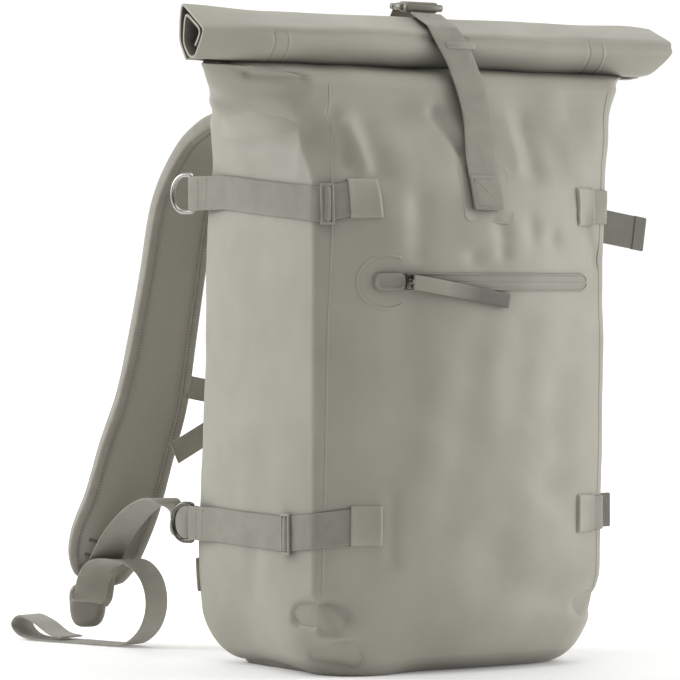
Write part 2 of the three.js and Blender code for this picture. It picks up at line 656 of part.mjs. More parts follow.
const backward = vector(0, 1, 0);
for (const strap of SIDE_STRAPS) {
  const z = strap.frontZ;
  const out = vector(strap.hand, 0, 0);
  const { inner, outer } = strap.hand < 0 ? PATCH_PLACES.left : PATCH_PLACES.right;
  const halfPatch = SIDE_PATCH.height / 2;
  add(
    "side_patch_" + strap.name,
    patchOnSkin(outer, inner, z - halfPatch, z + halfPatch, SIDE_PATCH.thick, 4),
    COLOURS.fabric,
  );

  const patchEdge = (strap.hand < 0 ? outer + 8 : outer) + strap.hand * SIDE_PATCH.clear;
  const stubEnd = walk(strap.slider, z, (strap.hand * TRIGLIDE.width) / 4);
  const stub = bandOnSkin(placesBetween(patchEdge, stubEnd), () => z, WEBBING.width, WEBBING.thick, GAP);
  add("side_stub_" + strap.name, loft(stub), COLOURS.webbing);

  const frame = roundRectangle(TRIGLIDE.width, TRIGLIDE.height, TRIGLIDE.bar);
  const slotX = TRIGLIDE.width / 2 - TRIGLIDE.bar - TRIGLIDE.slot / 2;
  for (const x of [-slotX, slotX]) {
    frame.holes.push(roundRectangle(TRIGLIDE.slot, TRIGLIDE.height - 2 * TRIGLIDE.bar, 1, THREE.Path, x, 0));
  }
  const sliderAlong = skin(strap.slider + 0.02, z).sub(skin(strap.slider - 0.02, z));
  const sliderUp = skin(strap.slider, z + halfPatch).sub(skin(strap.slider, z - halfPatch));
  const sliderAt = skin(strap.slider, z, GAP + WEBBING.thick + TRIGLIDE.clear + TRIGLIDE.thick / 2);
  add(
    "side_slider_" + strap.name,
    placed(plate(frame, TRIGLIDE.thick), sliderAt, sliderAlong, sliderUp),
    COLOURS.steel,
    1,
  );

  const mainFrom = walk(strap.slider, z, strap.hand * (TRIGLIDE.width / 4 + 2 * GAP));
  const leave = strap.hand < 0 ? RING.leavePlace : 9 - RING.leavePlace;
  const heightAt = (share) => mix(z, strap.backZ, share);
  const main = bandOnSkin(placesBetween(mainFrom, leave), heightAt, WEBBING.width, WEBBING.thick, GAP);
  const endY = RING.barY - RING.wire / 2 - GAP;
  const endX = (side) => strap.hand * (RING.x + (side * WEBBING.thick) / 2);
  const endZ = [-1, 0, 1].map((s) => strap.backZ + (s * WEBBING.width) / 2);
  const endRow = (side) => endZ.map((height) => vector(endX(side), endY, height));
  main.push([...endRow(-1), ...endRow(1).reverse()]);
  add("side_strap_" + strap.name, loft(main), COLOURS.webbing);
  const ringAt = vector(strap.hand * RING.x, RING.barY, strap.backZ);
  add("side_ring_" + strap.name, ringSolid(ringAt, out, backward), COLOURS.steel, 1);

  if (strap.tail > 0) {
    const tailFrom = sliderAt.clone().addScaledVector(out, TRIGLIDE.thick + strap.tailOff);
    const tailLine = [0, 0.3, 0.65, 1].map((share) => {
      const run = strap.tail * share;
      const down = SIDE_TAIL.low + SIDE_TAIL.droop * run;
      return tailFrom.clone().add(vector(run, SIDE_TAIL.back * share, -down));
    });
    add("side_tail_" + strap.name, webbing(stationsOn(tailLine, 5, () => UP)), COLOURS.webbing);
  }
}

// Rows of a table strung on a smooth line: the point, direction and other columns at a share of its run.
function lineOfRows(rows, pointOf) {
  const line = new THREE.CatmullRomCurve3(rows.map(pointOf), false, "centripetal");
  const table = smoothTable(
    rows.map((row, i) => ({ share: i / (rows.length - 1), ...row })),
    "share",
  );
  return (share) => ({ at: line.getPoint(share), along: line.getTangent(share), row: table(share) });
}
const evenShares = (steps) => Array.from({ length: steps + 1 }, (unused, i) => i / steps);
const degrees = THREE.MathUtils.degToRad;
const level = (turn) => vector(Math.cos(degrees(turn)), Math.sin(degrees(turn)), 0);

// Shoulder pads: a flattened oval swept down the middle line.
const padSquare = 0.6;
function padSection({ at, along, row }) {
  const across = level(-row.turn);
  across.addScaledVector(along, -across.dot(along)).normalize();
  const face = vector(0, 0, 0).crossVectors(along, across);
  return { across, face, at, halfWidth: row.width / 2, halfThick: row.thick / 2 };
}
const padLine = lineOfRows(PAD_ROWS, (row) => vector(row.x, row.y, row.z));
const padStations = evenShares(PAD_STEPS).map((share) => padSection(padLine(share)));
const padRings = padStations.map(({ at, across, face, halfWidth, halfThick }) =>
  Array.from({ length: PAD_SIDES }, (unused, k) => {
    const angle = (2 * Math.PI * k) / PAD_SIDES;
    const [c, s] = [Math.cos(angle), Math.sin(angle)];
    const side = Math.sign(c) * Math.abs(c) ** padSquare * halfWidth;
    const fill = Math.sign(s) * Math.abs(s) ** padSquare * halfThick;
    return at.clone().addScaledVector(across, side).addScaledVector(face, fill);
  }),
);
addPair("shoulder_pad", loft(padRings), COLOURS.mesh);

// Adjusters.
const lockShape = roundRectangle(LADDER_LOCK.width, LADDER_LOCK.length, LADDER_LOCK.round);
const lockSlot = LADDER_LOCK.width - 2 * LADDER_LOCK.side;
for (const y of [-LADDER_LOCK.length / 4, LADDER_LOCK.length / 4]) {
  lockShape.holes.push(roundRectangle(lockSlot, LADDER_LOCK.slot, LADDER_LOCK.slotRound, THREE.Path, 0, y));
}
addPair(
  "ladder_lock",
  placed(
    plate(lockShape, LADDER_LOCK.thick),
    vector(LADDER_PLACE.x, LADDER_PLACE.y, LADDER_PLACE.z),
    level(-LADDER_PLACE.turn),
    vector(0, -Math.sin(degrees(LADDER_PLACE.tip)), Math.cos(degrees(LADDER_PLACE.tip))),
  ),
  COLOURS.plastic,
);

// Webbing from the adjuster to the lower ring.
const lowerLine = lineOfRows(LOWER_STRAP_ROWS, (row) => vector(row.x, row.y, row.z));
const lowerStations = evenShares(20).map((share) => {
  const { at, row } = lowerLine(share);
  const flat = THREE.MathUtils.clamp(row.flat, 0, 1);
  const across = level(-LADDER_PLACE.turn).multiplyScalar(flat).addScaledVector(UP, flat - 1);
  return { at, across };
});
addPair("lower_strap", webbing(lowerStations), COLOURS.webbing);

// Loose webbing that loops out of the adjuster and lies on the floor, its end folded back on itself.
const tailOut = level(TAIL.planeTurn - 90);
const tailStart = vector(TAIL.x, TAIL.y, TAIL.floorZ);
const tailLine = lineOfRows(TAIL_ROWS, (row) =>
  tailStart.clone().addScaledVector(tailOut, row.out).addScaledVector(UP, row.up),
);
const tailStations = evenShares(40).map((share) => {
  const { at, row } = tailLine(share);
  return { at, across: level(row.turn) };
});
addPair("strap_tail", webbing(tailStations), COLOURS.webbing);

// Chest strap, held on the inner edges of the pads.
const chestPad = padSection(padLine(CHEST.padShare));
const chestLift = chestPad.halfThick * CHEST.padThin + CHEST_WEBBING.thick / 2 + GAP;
const chestFrom = chestPad.at
  .clone()
  .addScaledVector(chestPad.across, chestPad.halfWidth * CHEST.padSide)
  .addScaledVector(chestPad.face, chestLift);
const chestTo = vector(-CHEST_BUCKLE.width / 2 - CHEST.clear, CHEST_BUCKLE.y, CHEST_BUCKLE.z + CHEST.sag);
const chestLine = [chestFrom, chestFrom.clone().lerp(chestTo, 0.5).add(vector(0, 0, -CHEST.sag)), chestTo];
addPair("sternum", webbing(stationsOn(chestLine, 5, () => UP), CHEST_WEBBING), COLOURS.webbing);
const chestShape = roundRectangle(CHEST_BUCKLE.width, CHEST_BUCKLE.height, CHEST_BUCKLE.thick / 2);
add(
  "sternum_buckle",
  placed(
    plate(chestShape, CHEST_BUCKLE.thick),
    vector(0, CHEST_BUCKLE.y, CHEST_BUCKLE.z),
    vector(1, 0, 0),
    UP,
  ),
  COLOURS.plastic,
);
const chestTail = CHEST_TAIL_ROWS.map((row) => vector(row.x, row.y, row.z));
add("sternum_tail", webbing(stationsOn(chestTail, 5, () => UP), CHEST_WEBBING), COLOURS.webbing);

// Welded tabs on the back corners.
for (const [side, from] of [
  ["left", CORNER_TAB.place],
  ["right", 9 - CORNER_TAB.place - CORNER_TAB.span],
]) {
  add(
    "corner_tab_" + side,
    patchOnSkin(from, from + CORNER_TAB.span, CORNER_TAB.low, CORNER_TAB.high, CORNER_TAB.thick, 4),
    COLOURS.webbing,
  );
}

export default group;
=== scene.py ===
"""Looks of the waterproof roll-top backpack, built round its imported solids. Sizes are in millimetres."""

import math

import bmesh
import bpy
import numpy as np
from mathutils import Matrix, Vector, noise


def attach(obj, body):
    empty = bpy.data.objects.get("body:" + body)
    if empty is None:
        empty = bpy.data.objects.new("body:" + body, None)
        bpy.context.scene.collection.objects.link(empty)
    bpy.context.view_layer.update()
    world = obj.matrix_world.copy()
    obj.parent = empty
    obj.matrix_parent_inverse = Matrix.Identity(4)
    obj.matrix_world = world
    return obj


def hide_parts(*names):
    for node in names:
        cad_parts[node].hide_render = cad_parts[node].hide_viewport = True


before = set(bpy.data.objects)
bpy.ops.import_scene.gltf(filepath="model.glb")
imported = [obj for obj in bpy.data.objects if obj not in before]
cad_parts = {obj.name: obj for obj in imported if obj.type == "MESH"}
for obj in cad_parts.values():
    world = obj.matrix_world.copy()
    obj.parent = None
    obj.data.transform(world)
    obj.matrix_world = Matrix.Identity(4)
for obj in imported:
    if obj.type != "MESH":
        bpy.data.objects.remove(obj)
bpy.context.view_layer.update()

MM = 0.001
UP = np.array([0.0, 0.0, 1.0])

# Camera of the photograph: how far it is turned to the bag's left, its distance and height,
# and where the middle of the picture lies beside and above the line to the bag's middle.
CAMERA = {
    "turn": 33.0, "distance": 3535.0, "eye": 324.0, "aim_right": -0.01625, "aim_up": -0.011,
    "lens": 211.8, "sensor": 36.0,
}

# Coated fabric, the clearance between layers, webbing, stitches and half-round weld lines.
WALL = 1.8
LIFT = 0.6
WEBBING = {"width": 30.0, "thick": 1.6}
CHEST_WEBBING = {"width": 21.0, "thick": 1.4}
STITCH = {"pitch": 3.0, "length": 2.2, "radius": 0.36, "look_ahead": 0.2}
BEAD = {"steps": 7, "sunk": 0.25}

# The stuffed bag: the corners of its section at each level and how far each panel bulges between them.
SECTION_COLUMNS = (
    "z", "mid_x", "corner_x", "front_y", "back_y", "front_bulge", "right_bulge", "back_bulge", "left_bulge",
)
SECTIONS = (
    (0, 0, 148, -88, 104, 26, 5, 5, 5),
    (75, 0, 152, -90, 109.5, 31, 7, 6, 7),
    (150, 0, 152, -91, 104.5, 34, 7, 7, 7),
    (270, 1, 153, -91, 97, 36, 7, 7, 7),
    (385, 1.5, 153.5, -91, 93, 34, 6, 5, 6),
    (442, 6, 155, -87, 89, 22, 9, 3, 7),
    (465, 8, 158, -84, 89, 15, 15, 2, 8),
    (482, 7, 162, -80, 77, 9, 17, 1, 24),
    (490, 9, 161, -80, 64, 7, 19, 0.5, 45),
    (498, 12.5, 159.5, -80, 45, 5, 21, 0, 60),
    (507, 14, 160, -79, 14, 4, 21, 0, 76),
    (515.5, 6, 168, -73, -10, 3, 22, 0, 70),
    (520, -6, 183, -66, -24, 2, 27, 0, 47),
    (523, -9, 187, -58, -31, 1, 30, 0, 38),
    (526, -9, 187, -50, -33, 1, 30, 0, 35),
)

# Height of the neck, and the rounding of the base and of the corners.
NECK_Z = 526.0
BASE_ROUND = {"rise": 50.0, "inset": 29.0, "flatten": 0.45}
CORNER = {"round": 6.0, "foot_round": 40.0, "foot_from": 66.0, "foot_to": 22.0, "most": 0.42}

# How deep the front left corner is pushed in under the neck, round which level, how far up and how wide.
PUSHED = {"depth": 18.0, "z": 458.0, "reach": 27.0, "over": 23.0}
FRONT_RIGHT, FRONT_LEFT = 0, 3

# Places on the outline: the middle of the back, the sum of two mirrored places, the whole way round,
# and the step by which a direction along it is measured.
BACK_MIDDLE = 4.5
MIRROR_SUM = 9
ALL_ROUND = 8
PLACE_STEP = 0.02

# Dents: the place on the outline and the height of each, how far it reaches sideways and up, and its depth.
SPOT_COLUMNS = ("place", "z", "side", "up", "depth")
DENTS = (
    (6.45, 34, 62, 48, 12),
    (2.5, 472, 34, 28, 6),
    (7.95, 5, 34, 16, -14),
    (7.7, 52, 24, 10, 8),
    (7.75, 36, 18, 5, -5),
    (1.4, 54, 20, 15, 7),
    (0.32, 470, 44, 26, 5),
    (0.74, 464, 40, 28, 5),
    (6.5, 250, 50, 70, 3),
    (0.57, 380, 10, 13, 2.8),
    (0.684, 382, 10, 13, 3.2),
    (0.57, 361, 8, 8, 2.2),
    (0.462, 357, 10, 8, 2.2),
    (0.77, 372, 11, 12, 2.6),
    (0.79, 68, 30, 16, 3.8),
    (0.55, 96, 26, 30, 3.6),
    (4.3, 300, 60, 80, 3),
    (4.7, 160, 50, 60, 3),
    (2.4, 300, 40, 90, 3),
)

# Folds: the two ends of each on the outline and in height, its half width, and how far it stands out.
FOLD_COLUMNS = ("place_a", "z_a", "place_b", "z_b", "width", "height")
FOLDS = (
    (0.066, 474, 0.078, 438, 11, -4.4),
    (0.104, 470, 0.128, 436, 9, 3.6),
    (0.162, 466, 0.178, 426, 12, -3.6),
    (0.222, 446, 0.222, 372, 26, 5.0),
    (0.235, 150, 0.235, 100, 24, 3.0),
    (0.366, 476, 0.340, 430, 26, 4.2),
    (0.398, 482, 0.452, 450, 7, -3.4),
    (0.690, 474, 0.702, 436, 12, -3.8),
    (0.645, 474, 0.652, 440, 11, 2.6),
    (0.285, 402, 0.275, 362, 12, -3.0),
    (0.905, 392, 0.972, 356, 8, -3.2),
    (0.246, 304, 0.256, 240, 24, -3.0),
    (0.444, 266, 0.436, 200, 22, -2.6),
    (0.632, 290, 0.600, 230, 22, -2.4),
    (0.312, 196, 0.306, 136, 20, 2.8),
    (0.800, 236, 0.780, 160, 22, -2.8),
    (0.206, 152, 0.206, 98, 7, -2.2),
    (6.56, 100, 6.48, 74, 14, -2.2),
    (7.095, 522.8, 6.835, 509.2, 3.5, -2.4),
    (6.835, 509.2, 7.42, 508.0, 3.5, -3.0),
    (7.94, 519.0, 7.97, 513.2, 3.0, -2.6),
    (6.40, 196, 6.46, 150, 22, 1.4),
    (7.95, 62, 7.5, 42, 5, 3.2),
    (3.9, 430, 4.2, 380, 16, -2.5),
    (4.8, 440, 4.6, 390, 16, -2.5),
)

# Puckers: hollows with a crisp edge, in the columns of the dents.
PUCKERS = (
    (7.7, 54, 31, 17, 6),
    (6.99, 52, 19, 12, 9),
    (7.66, 17, 25, 8, 9),
    (1.02, 51, 33, 15, 7),
)

# Ripple of the full cloth, by length and depth of its waves, and the upright gathers under the roll.
RIPPLE = ((66.0, 2.8), (30.0, 1.1), (12.0, 0.2))
GATHER = {
    "across": 27.0, "up": 74.0, "depth": 1.8, "middle_z": 462.0, "reach": 44.0,
    "from_y": -64.0, "over": 16.0,
}

# How finely the bag is divided, the level at which the weave is measured round it,
# and how many samples find a place along the outline or a smooth line.
SHELL_LEGS = ("front", "corner", "side", "corner", "back", "corner", "side", "foot_corner")
SHELL_STEPS = {
    "front": 130, "side": 62, "back": 56, "corner": 10, "foot_corner": 28,
    "base": 24, "rise": 2.4, "inside": 24,
}
WEAVE_Z = 270.0
SAMPLES = {"arc": 600, "walk": 900, "seam": 400, "row": 60}
WALK_REACH = 1.5

# Weld lines where the panels overlap: their ends and size, how far the right one lies in from the corner,
# the left one's X by level, where it is looked for, and the places of the two on the back.
SEAM = {"low": 66.0, "high": 505.0, "steps": 170, "right_in": 9.0, "width": 2.4, "height": 0.7}
SEAM_LEFT = ((66, -143.5), (300, -140), (400, -136), (485, -128.5), (505, -127))
SEAM_LEFT_PLACES = (-0.7, 0.3)
SEAM_BACK = (4.03, 4.97)

# Rolled neck: corners of the wound strip round its middle, in Y and Z along the roll and then at its
# flattened left end, from the back of the neck up, over the top, down the front, under and once more inside.
ROLL = {
    "left": -246.5, "right": 240.5, "steps": 200, "mid_y": -56.0, "mid_z": 543.0, "thick": 2.2,
    "round": 6.0, "round_share": 0.46, "round_steps": 6, "left_reach": 84.0,
}
ROLL_ROWS = (
    (14, -23.3, 15, -19.5),
    (25, -8, 25.5, -4),
    (25.5, 12, 25, 14),
    (26, 25, 22, 28.5),
    (-14, 8.5, -14, 5.0),
    (-13, 4.5, -13.4, 1.0),
    (-16.4, -1.5, -11, -3),
    (-15.2, -7.5, -7, -9),
    (-10.2, -14, -3, -14),
    (-3, -20, 0, -18.5),
    (8, -21, 9, -18.5),
    (18, -13, 19.5, -6),
    (19, 10, 18, 10),
    (17, 16, 15, 19),
    (-9, 4, -9, 4),
    (-10, -8, -5, -4),
    (-4, -15, 0, -9),
)

# Rows of the top's rear and front corners, the right end, the waves and the weld lines of the roll.
TOP_REAR, TOP_FRONT = 3, 4
ROLL_RIGHT = {"reach": 30.0, "slant": 17.0, "slant_over": 22.0, "pinch": 0.06}
ROLL_WAVES = {"length": 62.0, "section": 24.0, "depth": (1.19, 1.7)}
ROLL_WELDS = ((-178.0, -0.5), (-163.6, 0.5), (148.6, -0.5), (164.2, 0.5))
ROLL_WELD = {"width": 1.0, "top": 8.0, "fade": 6.0, "reach": 4.0, "steps": 15}

# Closing strap: its X at each stage, its ends and heights over the bag, and how it passes over the roll.
TOP_STRAP = {
    "x": 6.0, "crease_x": -7.5, "roll_x": 3.5, "neck_x": 12.0, "neck_in": 2.0, "buckle_x": 0.0,
    "end_z": 398.0, "hem_top": 427.0, "hem_rows": 6, "lift": 2.8, "leave_lift": 3.8, "sag": 0.8,
}
BOX_STITCH = {"in": 3.2, "samples": 24}
BOX_LINES = ((0, 1), (1, 2), (2, 3), (3, 0), (1, 3))
ON_ROLL = {
    "clear": 3.5, "below": 15.0, "below_off": 9.0, "corner_off": 1.0, "corner_up": 1.5, "rear_up": 0.4,
}
OVER_ROLL = ((0.12, 2.4), (0.5, 1.6), (0.89, 1.0))
BEHIND = {
    "end_z": 446.0, "meet_z": 462.0, "lift": 1.3, "meet_lift": 2.0, "out": 6.0, "down": 8.0, "slack": 4.0,
}

# The closing strap's patch, with rings of an inset and a height over the bag, its keeper and its buckle.
PATCH = {"x": 9.3, "width": 55.0, "low": 387.0, "high": 438.0, "round": 6.0}
PATCH_RINGS = (
    (-0.6, -0.5), (0, -0.1), (0.9, 0.55), (2.0, 0.2), (6, 0.15), (11, 0.15), (16, 0.15), (21, 0.15),
)
SMALLEST_RING = 0.04
KEEPER = {"width": 31.0, "height": 7.0, "thick": 3.4, "bevel": 1.3, "clear": 1.2, "up": -2.0, "aside": 2.0}
KEEPER_BAR = {"width": 27.0, "height": 3.0, "bevel": 1.0, "out": 0.5, "up": 0.4}
BUCKLE = {
    "width": 42.0, "length": 28.0, "thick": 10.0, "rear_share": 0.42, "rise_share": 0.58, "flatten": 0.75,
}

# Blocks of a fastened side-release buckle, in shares of its size: place across and along, width, length,
# thickness and bevel. First the socket, the plug's shoulder and the end bars, then what lies on both sides.
BUCKLE_MIDDLE = (
    (0, -0.10, 0.80, 0.56, 1.0, 0.30),
    (0, 0.33, 0.72, 0.26, 0.72, 0.24),
    (0, -0.44, 0.92, 0.12, 0.62, 0.22),
    (0, 0.455, 0.92, 0.09, 0.56, 0.20),
)
BUCKLE_SIDES = (
    (0.43, 0.02, 0.11, 0.46, 0.66, 0.22),
    (0.41, -0.36, 0.10, 0.22, 0.60, 0.20),
    (0.41, 0.38, 0.10, 0.20, 0.56, 0.20),
)

# Pocket zip: its tape and narrowed end, the tape's section in shares of half its height and in height over
# the bag, the moulded end, the slider's blocks (ahead, out, width, height, thickness and bevel), the pull
# and the weld line round the moulded end.
ZIP = {"z": 336.0, "from_x": -76.0, "to_x": 123.0, "height": 15.4, "thick": 1.4, "steps": 60}
ZIP_END = {"reach": 9.0, "from": 8.0, "narrow": 0.25, "steps": 12}
ZIP_PROFILE = np.array([
    (-1, -0.4), (-1, 0.9), (-0.93, 1.4), (-0.84, 1.4), (-0.78, 0.6), (-0.6, 0.8), (-0.12, 0.95),
    (-0.05, 0.9), (0, 0.6), (0.05, 0.9), (0.12, 0.95), (0.6, 0.8), (0.78, 0.6),
    (0.84, 1.4), (0.93, 1.4), (1, 0.9), (1, -0.4),
])
GARAGE = {"from_x": -101.0, "to_x": -78.5, "height": 15.0, "over": 5.0, "round": 6.0, "round_steps": 8}
GARAGE_RINGS = (
    (-0.4, -0.5), (0, 1.6), (0.6, 3.4), (1.3, 4.5), (2.0, 4.5), (2.7, 3.5), (4, 3.0), (5.6, 3.0), (7, 3.0),
)
ZIP_SLIDER = {"x": -73.0, "thick": 5.4}
ZIP_SLIDER_BLOCKS = (
    (0, -1.4, 6.4, 13.0, 3.0, 1.2),
    (0, 1.2, 5.12, 4.6, 3.0, 1.2),
    (2.0, 1.4, 2.0, 12.6, 2.0, 0.8),
)
ZIP_PULL = {
    "from_x": -71.0, "to_x": 23.0, "width": 12.6, "thick": 2.0, "drop": 16.5, "start_lift": 6.0,
    "end_lift": 3.3, "rows": 7, "step": 2.0,
}
PULL_SHADE = {"from": 32.0, "to": 66.0, "dark": 0.42}
ZIP_WELD = {
    "from": 62.0, "to": 302.0, "steps": 60, "aside": -2.0, "side": 25.0, "up": 22.5,
    "width": 3.0, "height": 0.9,
}

# Side straps: side, place of the slider, heights of the front end, the slider and the back end, and the
# loose end's length, how far it stands off the slider and lies below it, and how much it droops.
STRAP_COLUMNS = (
    "name", "hand", "slider", "front_z", "slider_z", "back_z", "tail", "tail_off", "tail_low", "droop",
)
SIDE_STRAPS = (
    ("upper_left", -1, 8.018, 407.0, 401.5, 414.5, 0, 0, 0, 0),
    ("lower_left", -1, 6.845, 129.0, 121.0, 123.4, 0, 0, 0, 0),
    ("upper_right", 1, 2.2, 402.5, 402.0, 413.0, 60, 2.8, 13.5, 0.15),
    ("lower_right", 1, 2.2, 133.0, 133.0, 123.0, 26, 3.8, 1.0, 0.0),
)

# The pocket that each strap starts in: X of its outer and inner end by side, its size and how far webbing
# reaches in, shares of the way in with heights over the bag, and its section from bottom to top in shares.
PATCH_X = {-1: (-121.5, -94.0), 1: (134.0, 113.0)}
SIDE_PATCH = {"height": 34.5, "sunk": -0.5, "reach_in": 3.0}
SIDE_PATCH_RUN = np.array([
    (0.07, -0.4), (0.07, 2.6), (0, 2.8), (0, 3.4), (0.03, 3.6), (0.09, 3.1), (0.2, 2.5), (0.4, 2.2),
    (0.6, 2.2), (0.76, 2.2), (0.84, 2.6), (0.90, 2.9), (0.95, 2.1), (0.985, 0.7), (1.0, -0.4),
])
SIDE_PATCH_SECTION = np.array([
    (-1, -0.4), (-0.99, 0.1), (-0.95, 0.5), (-0.88, 0.85), (-0.75, 1), (-0.4, 1), (0, 1.02),
    (0.4, 1), (0.75, 1), (0.88, 0.85), (0.95, 0.5), (0.99, 0.1), (1, -0.4),
])

# The slider of each strap, the webbing over its bar, the loose end, the ring and the loop round it.
TRIGLIDE = {
    "width": 12.0, "height": 35.0, "thick": 2.4, "bar": 2.4, "bevel": 0.8, "clear": 0.4, "half_up": 17.0,
}
OVER_BAR = {"half": 4.2, "step": 0.6, "rise": 3.4, "crown": 0.6, "narrow": 1.0, "thin": 0.7, "sunk": 0.6}
SIDE_TAIL = {"back": 4.0, "shares": (0, 0.3, 0.65, 1), "hem": 14, "hem_width": 30.6, "hem_thick": 2.72}
RING = {
    "wire": 4.3, "height": 37.0, "reach": 27.0, "short": 0.3, "corner": 2.4, "cut": 0.25, "x": 156.2,
    "bar_y": 104.5, "turn": 22.0, "leave": 6.2,
}
RING_STEPS = {"bow": 40, "bar": 12, "round": 14}
RING_LOOP = {"clear": 0.2, "lead": 4.0, "start": 2.0, "tuck": 5.0, "steps": 13, "tuck_steps": 4}
RING_STITCHES = (0.55, 0.8)
BAND_STEP = 2.5

# Left shoulder pad: its middle line, width, thickness and how far its inner edge turns to the bag.
PAD_ROWS = (
    (-56, 95.5, 428, 56, 9, 0),
    (-59, 100, 450, 58, 10, 0),
    (-64, 122, 473, 60, 12, 0),
    (-73, 158, 481, 62, 13, 0),
    (-83, 187, 465, 62, 13, 0),
    (-94, 205, 436, 62, 13, 2),
    (-102, 217, 402, 61, 13, 4),
    (-106, 229, 342, 61, 13, 6),
    (-110, 241, 283, 63, 13, 9),
    (-114, 254, 227, 67, 13, 13),
    (-121, 270, 180, 70, 13, 17),
    (-126, 288, 132, 71, 13, 20),
    (-134, 303, 94, 70, 12, 22),
    (-138.4, 313, 58.6, 56, 8, 22),
)

# The pad's section and tip, the tape bound over its edges, its stitches and its bar tacks.
PAD = {
    "step": 3.4, "square": 0.6, "around": 44, "tip": 26.0, "tip_width": 0.62, "under": 0.985,
    "hang_y": 200.0,
}
BINDING = {
    "reach": 9.0, "proud": 0.5, "deep": 1.6, "hem": 0.72, "edge": 0.72, "sink": 0.98, "square": 0.7,
    "steps": 9,
}
PAD_STITCH = {"in": 7.4, "ends": 3, "proud": 2.6, "radius": 0.55}
BAR_TACKS = ((-13.5, 93.0), (-13.5, 83.0))
TACK = {"size": (10, 3.0, 1.4), "bevel": 0.5, "lift": 0.4}

# Adjuster at the lower end of the left pad, its shape in layers of an inset and a height,
# and the webbing round it.
LADDER = {"width": 38.0, "length": 42.0, "x": -141.0, "y": 319.6, "z": 35.7, "tip": 10.0, "turn": 22.0}
LOCK = {"aside": -3.5, "square": 0.62, "narrow": 0.2, "around": 48}
LOCK_LAYERS = (
    (3.0, -4.4), (0.8, -4.0), (0, -2.6), (0, 0.4), (0.8, 2.0), (2.2, 3.2), (4.5, 4.2), (8, 4.8), (13, 5.1),
    (17, 5.2),
)
LOWER_STRAP_ROWS = (
    (-140.6, 317.0, 38.0, 1),
    (-140, 311.5, 44, 1),
    (-140, 305.5, 64, 1),
    (-139, 293, 83, 1),
    (-139.5, 267, 107, 1),
    (-142, 232, 126, 1),
    (-145.5, 200, 137, 1),
    (-150, 172, 141.5, 1),
    (-152.5, 157, 139, 0.75),
    (-152.5, 149, 130, 0.2),
    (-153, 142, 124.5, 0),
    (-153.5, 130, 123.4, 0),
    (-155, 107, 123.4, 0),
)
TAIL = {"x": -141.0, "y": 312.4, "floor_z": 1.5, "turn": 19.0}
TAIL_ROWS = (
    (-5, 38, -22, -8.5),
    (1.5, 39.5, -22, -8.5),
    (6.5, 46, -22, -9),
    (9, 58, -22, -9),
    (17, 71, -20, -7),
    (34, 78, -8, -4),
    (54, 76, 8, -1),
    (70, 62, 16, 0),
    (76, 40, 19, 0),
    (69, 18, 19, 0),
    (51, 3, 19, 0),
    (30, 0, 19, 0),
    (-20, 0, 19, 0),
    (-68, 0, 19, 0),
    (-86, 4, 19, 0),
    (-94, 13, 19, 0),
    (-86, 21, 19, 0),
    (-66, 16, 19, 0),
    (-46, 6, 19, 0),
    (-30, 3.4, 19, 0),
)

# Chest strap and the tabs low on the back corners.
CHEST = {"z": 243.0, "side": 0.93, "thin": 0.63, "sag": 2.0, "reach_in": 3.0}
CHEST_BUCKLE = {"y": 226.0, "z": 230.0, "width": 42.0, "height": 26.0, "thick": 9.0}
CHEST_TAIL_ROWS = ((-26.6, 224.4, 223), (-52, 222, 209), (-82, 220, 194), (-110, 218, 180))
CORNER_TABS = {"left": (5.2, 5.7), "right": (3.3, 3.8)}
TAB = {"low": 62.0, "high": 92.0, "thick": 3.0, "sunk": -0.3, "steps": 14}

# Edges sharper than these angles, in degrees, stay crisp on hard pieces and on the roll.
HARD_EDGE = 40
ROLL_EDGE = 50

# Colours, as linear light.
COLOURS = {
    "fabric": (0.340, 0.329, 0.275),
    "webbing": (0.286, 0.276, 0.229),
    "mesh": (0.320, 0.304, 0.258),
    "binding": (0.330, 0.318, 0.270),
    "plastic": (0.215, 0.205, 0.168),
    "light_plastic": (0.285, 0.274, 0.230),
    "zip": (0.262, 0.253, 0.209),
    "thread": (0.140, 0.132, 0.110),
    # Lit and shaded copies of one plated steel for the upper and lower rings: painted light and painted
    # shade. The darker copy is also the zip slider's colour.
    "steel": (0.430, 0.415, 0.385),
    "dark_steel_and_painted_shade": (0.150, 0.145, 0.125),
    "slider": (0.300, 0.290, 0.250),
    # Darker copy of the webbing for the loose ends: painted shade.
    "tail": (0.170, 0.163, 0.136),
    # Lighter copy of the webbing for the end looped round the adjuster: painted light.
    "loop": (0.338, 0.326, 0.277),
    "floor": (0.940, 0.940, 0.935),
}

# Painted shade where other surfaces lie close, on the body and on the roll: its reach and its darkest shade.
PAINTED_SHADE = {"reach": 15.0, "dark": 0.5}
ROLL_PAINTED_SHADE = {"reach": 32.0, "dark": 0.2}

# Size of the cells of the pads' mesh.
MESH_CELL = 1.5

# Studio, in metres and watts: the floor's glow grows away from the camera. Two tall panels light the bag
# from both sides and a little from behind, and one hangs above it. The surroundings are white behind the
# bag and dim on the camera's side.
FLOOR = {"half": 14.0, "near": -0.3, "far": 1.6, "near_glow": 0.03, "far_glow": 0.62}
LIGHT_COLUMNS = ("name", "turn", "z", "distance", "wide", "tall", "watts")
LIGHTS = (
    ("left_panel", 100, 1.2, 2.2, 1.3, 1.2, 25),
    ("right_panel", -92, 0.75, 2.2, 1.3, 1.7, 26.5),
    ("top_panel", 20, 2.3, 0.6, 1.6, 1.6, 20),
)
LIGHT_AIM_Z = 0.3
WORLD = {
    "colour": (1.0, 1.0, 0.99), "behind": 1.08, "camera_side": 0.05, "from": -1.0, "to": 0.9,
}

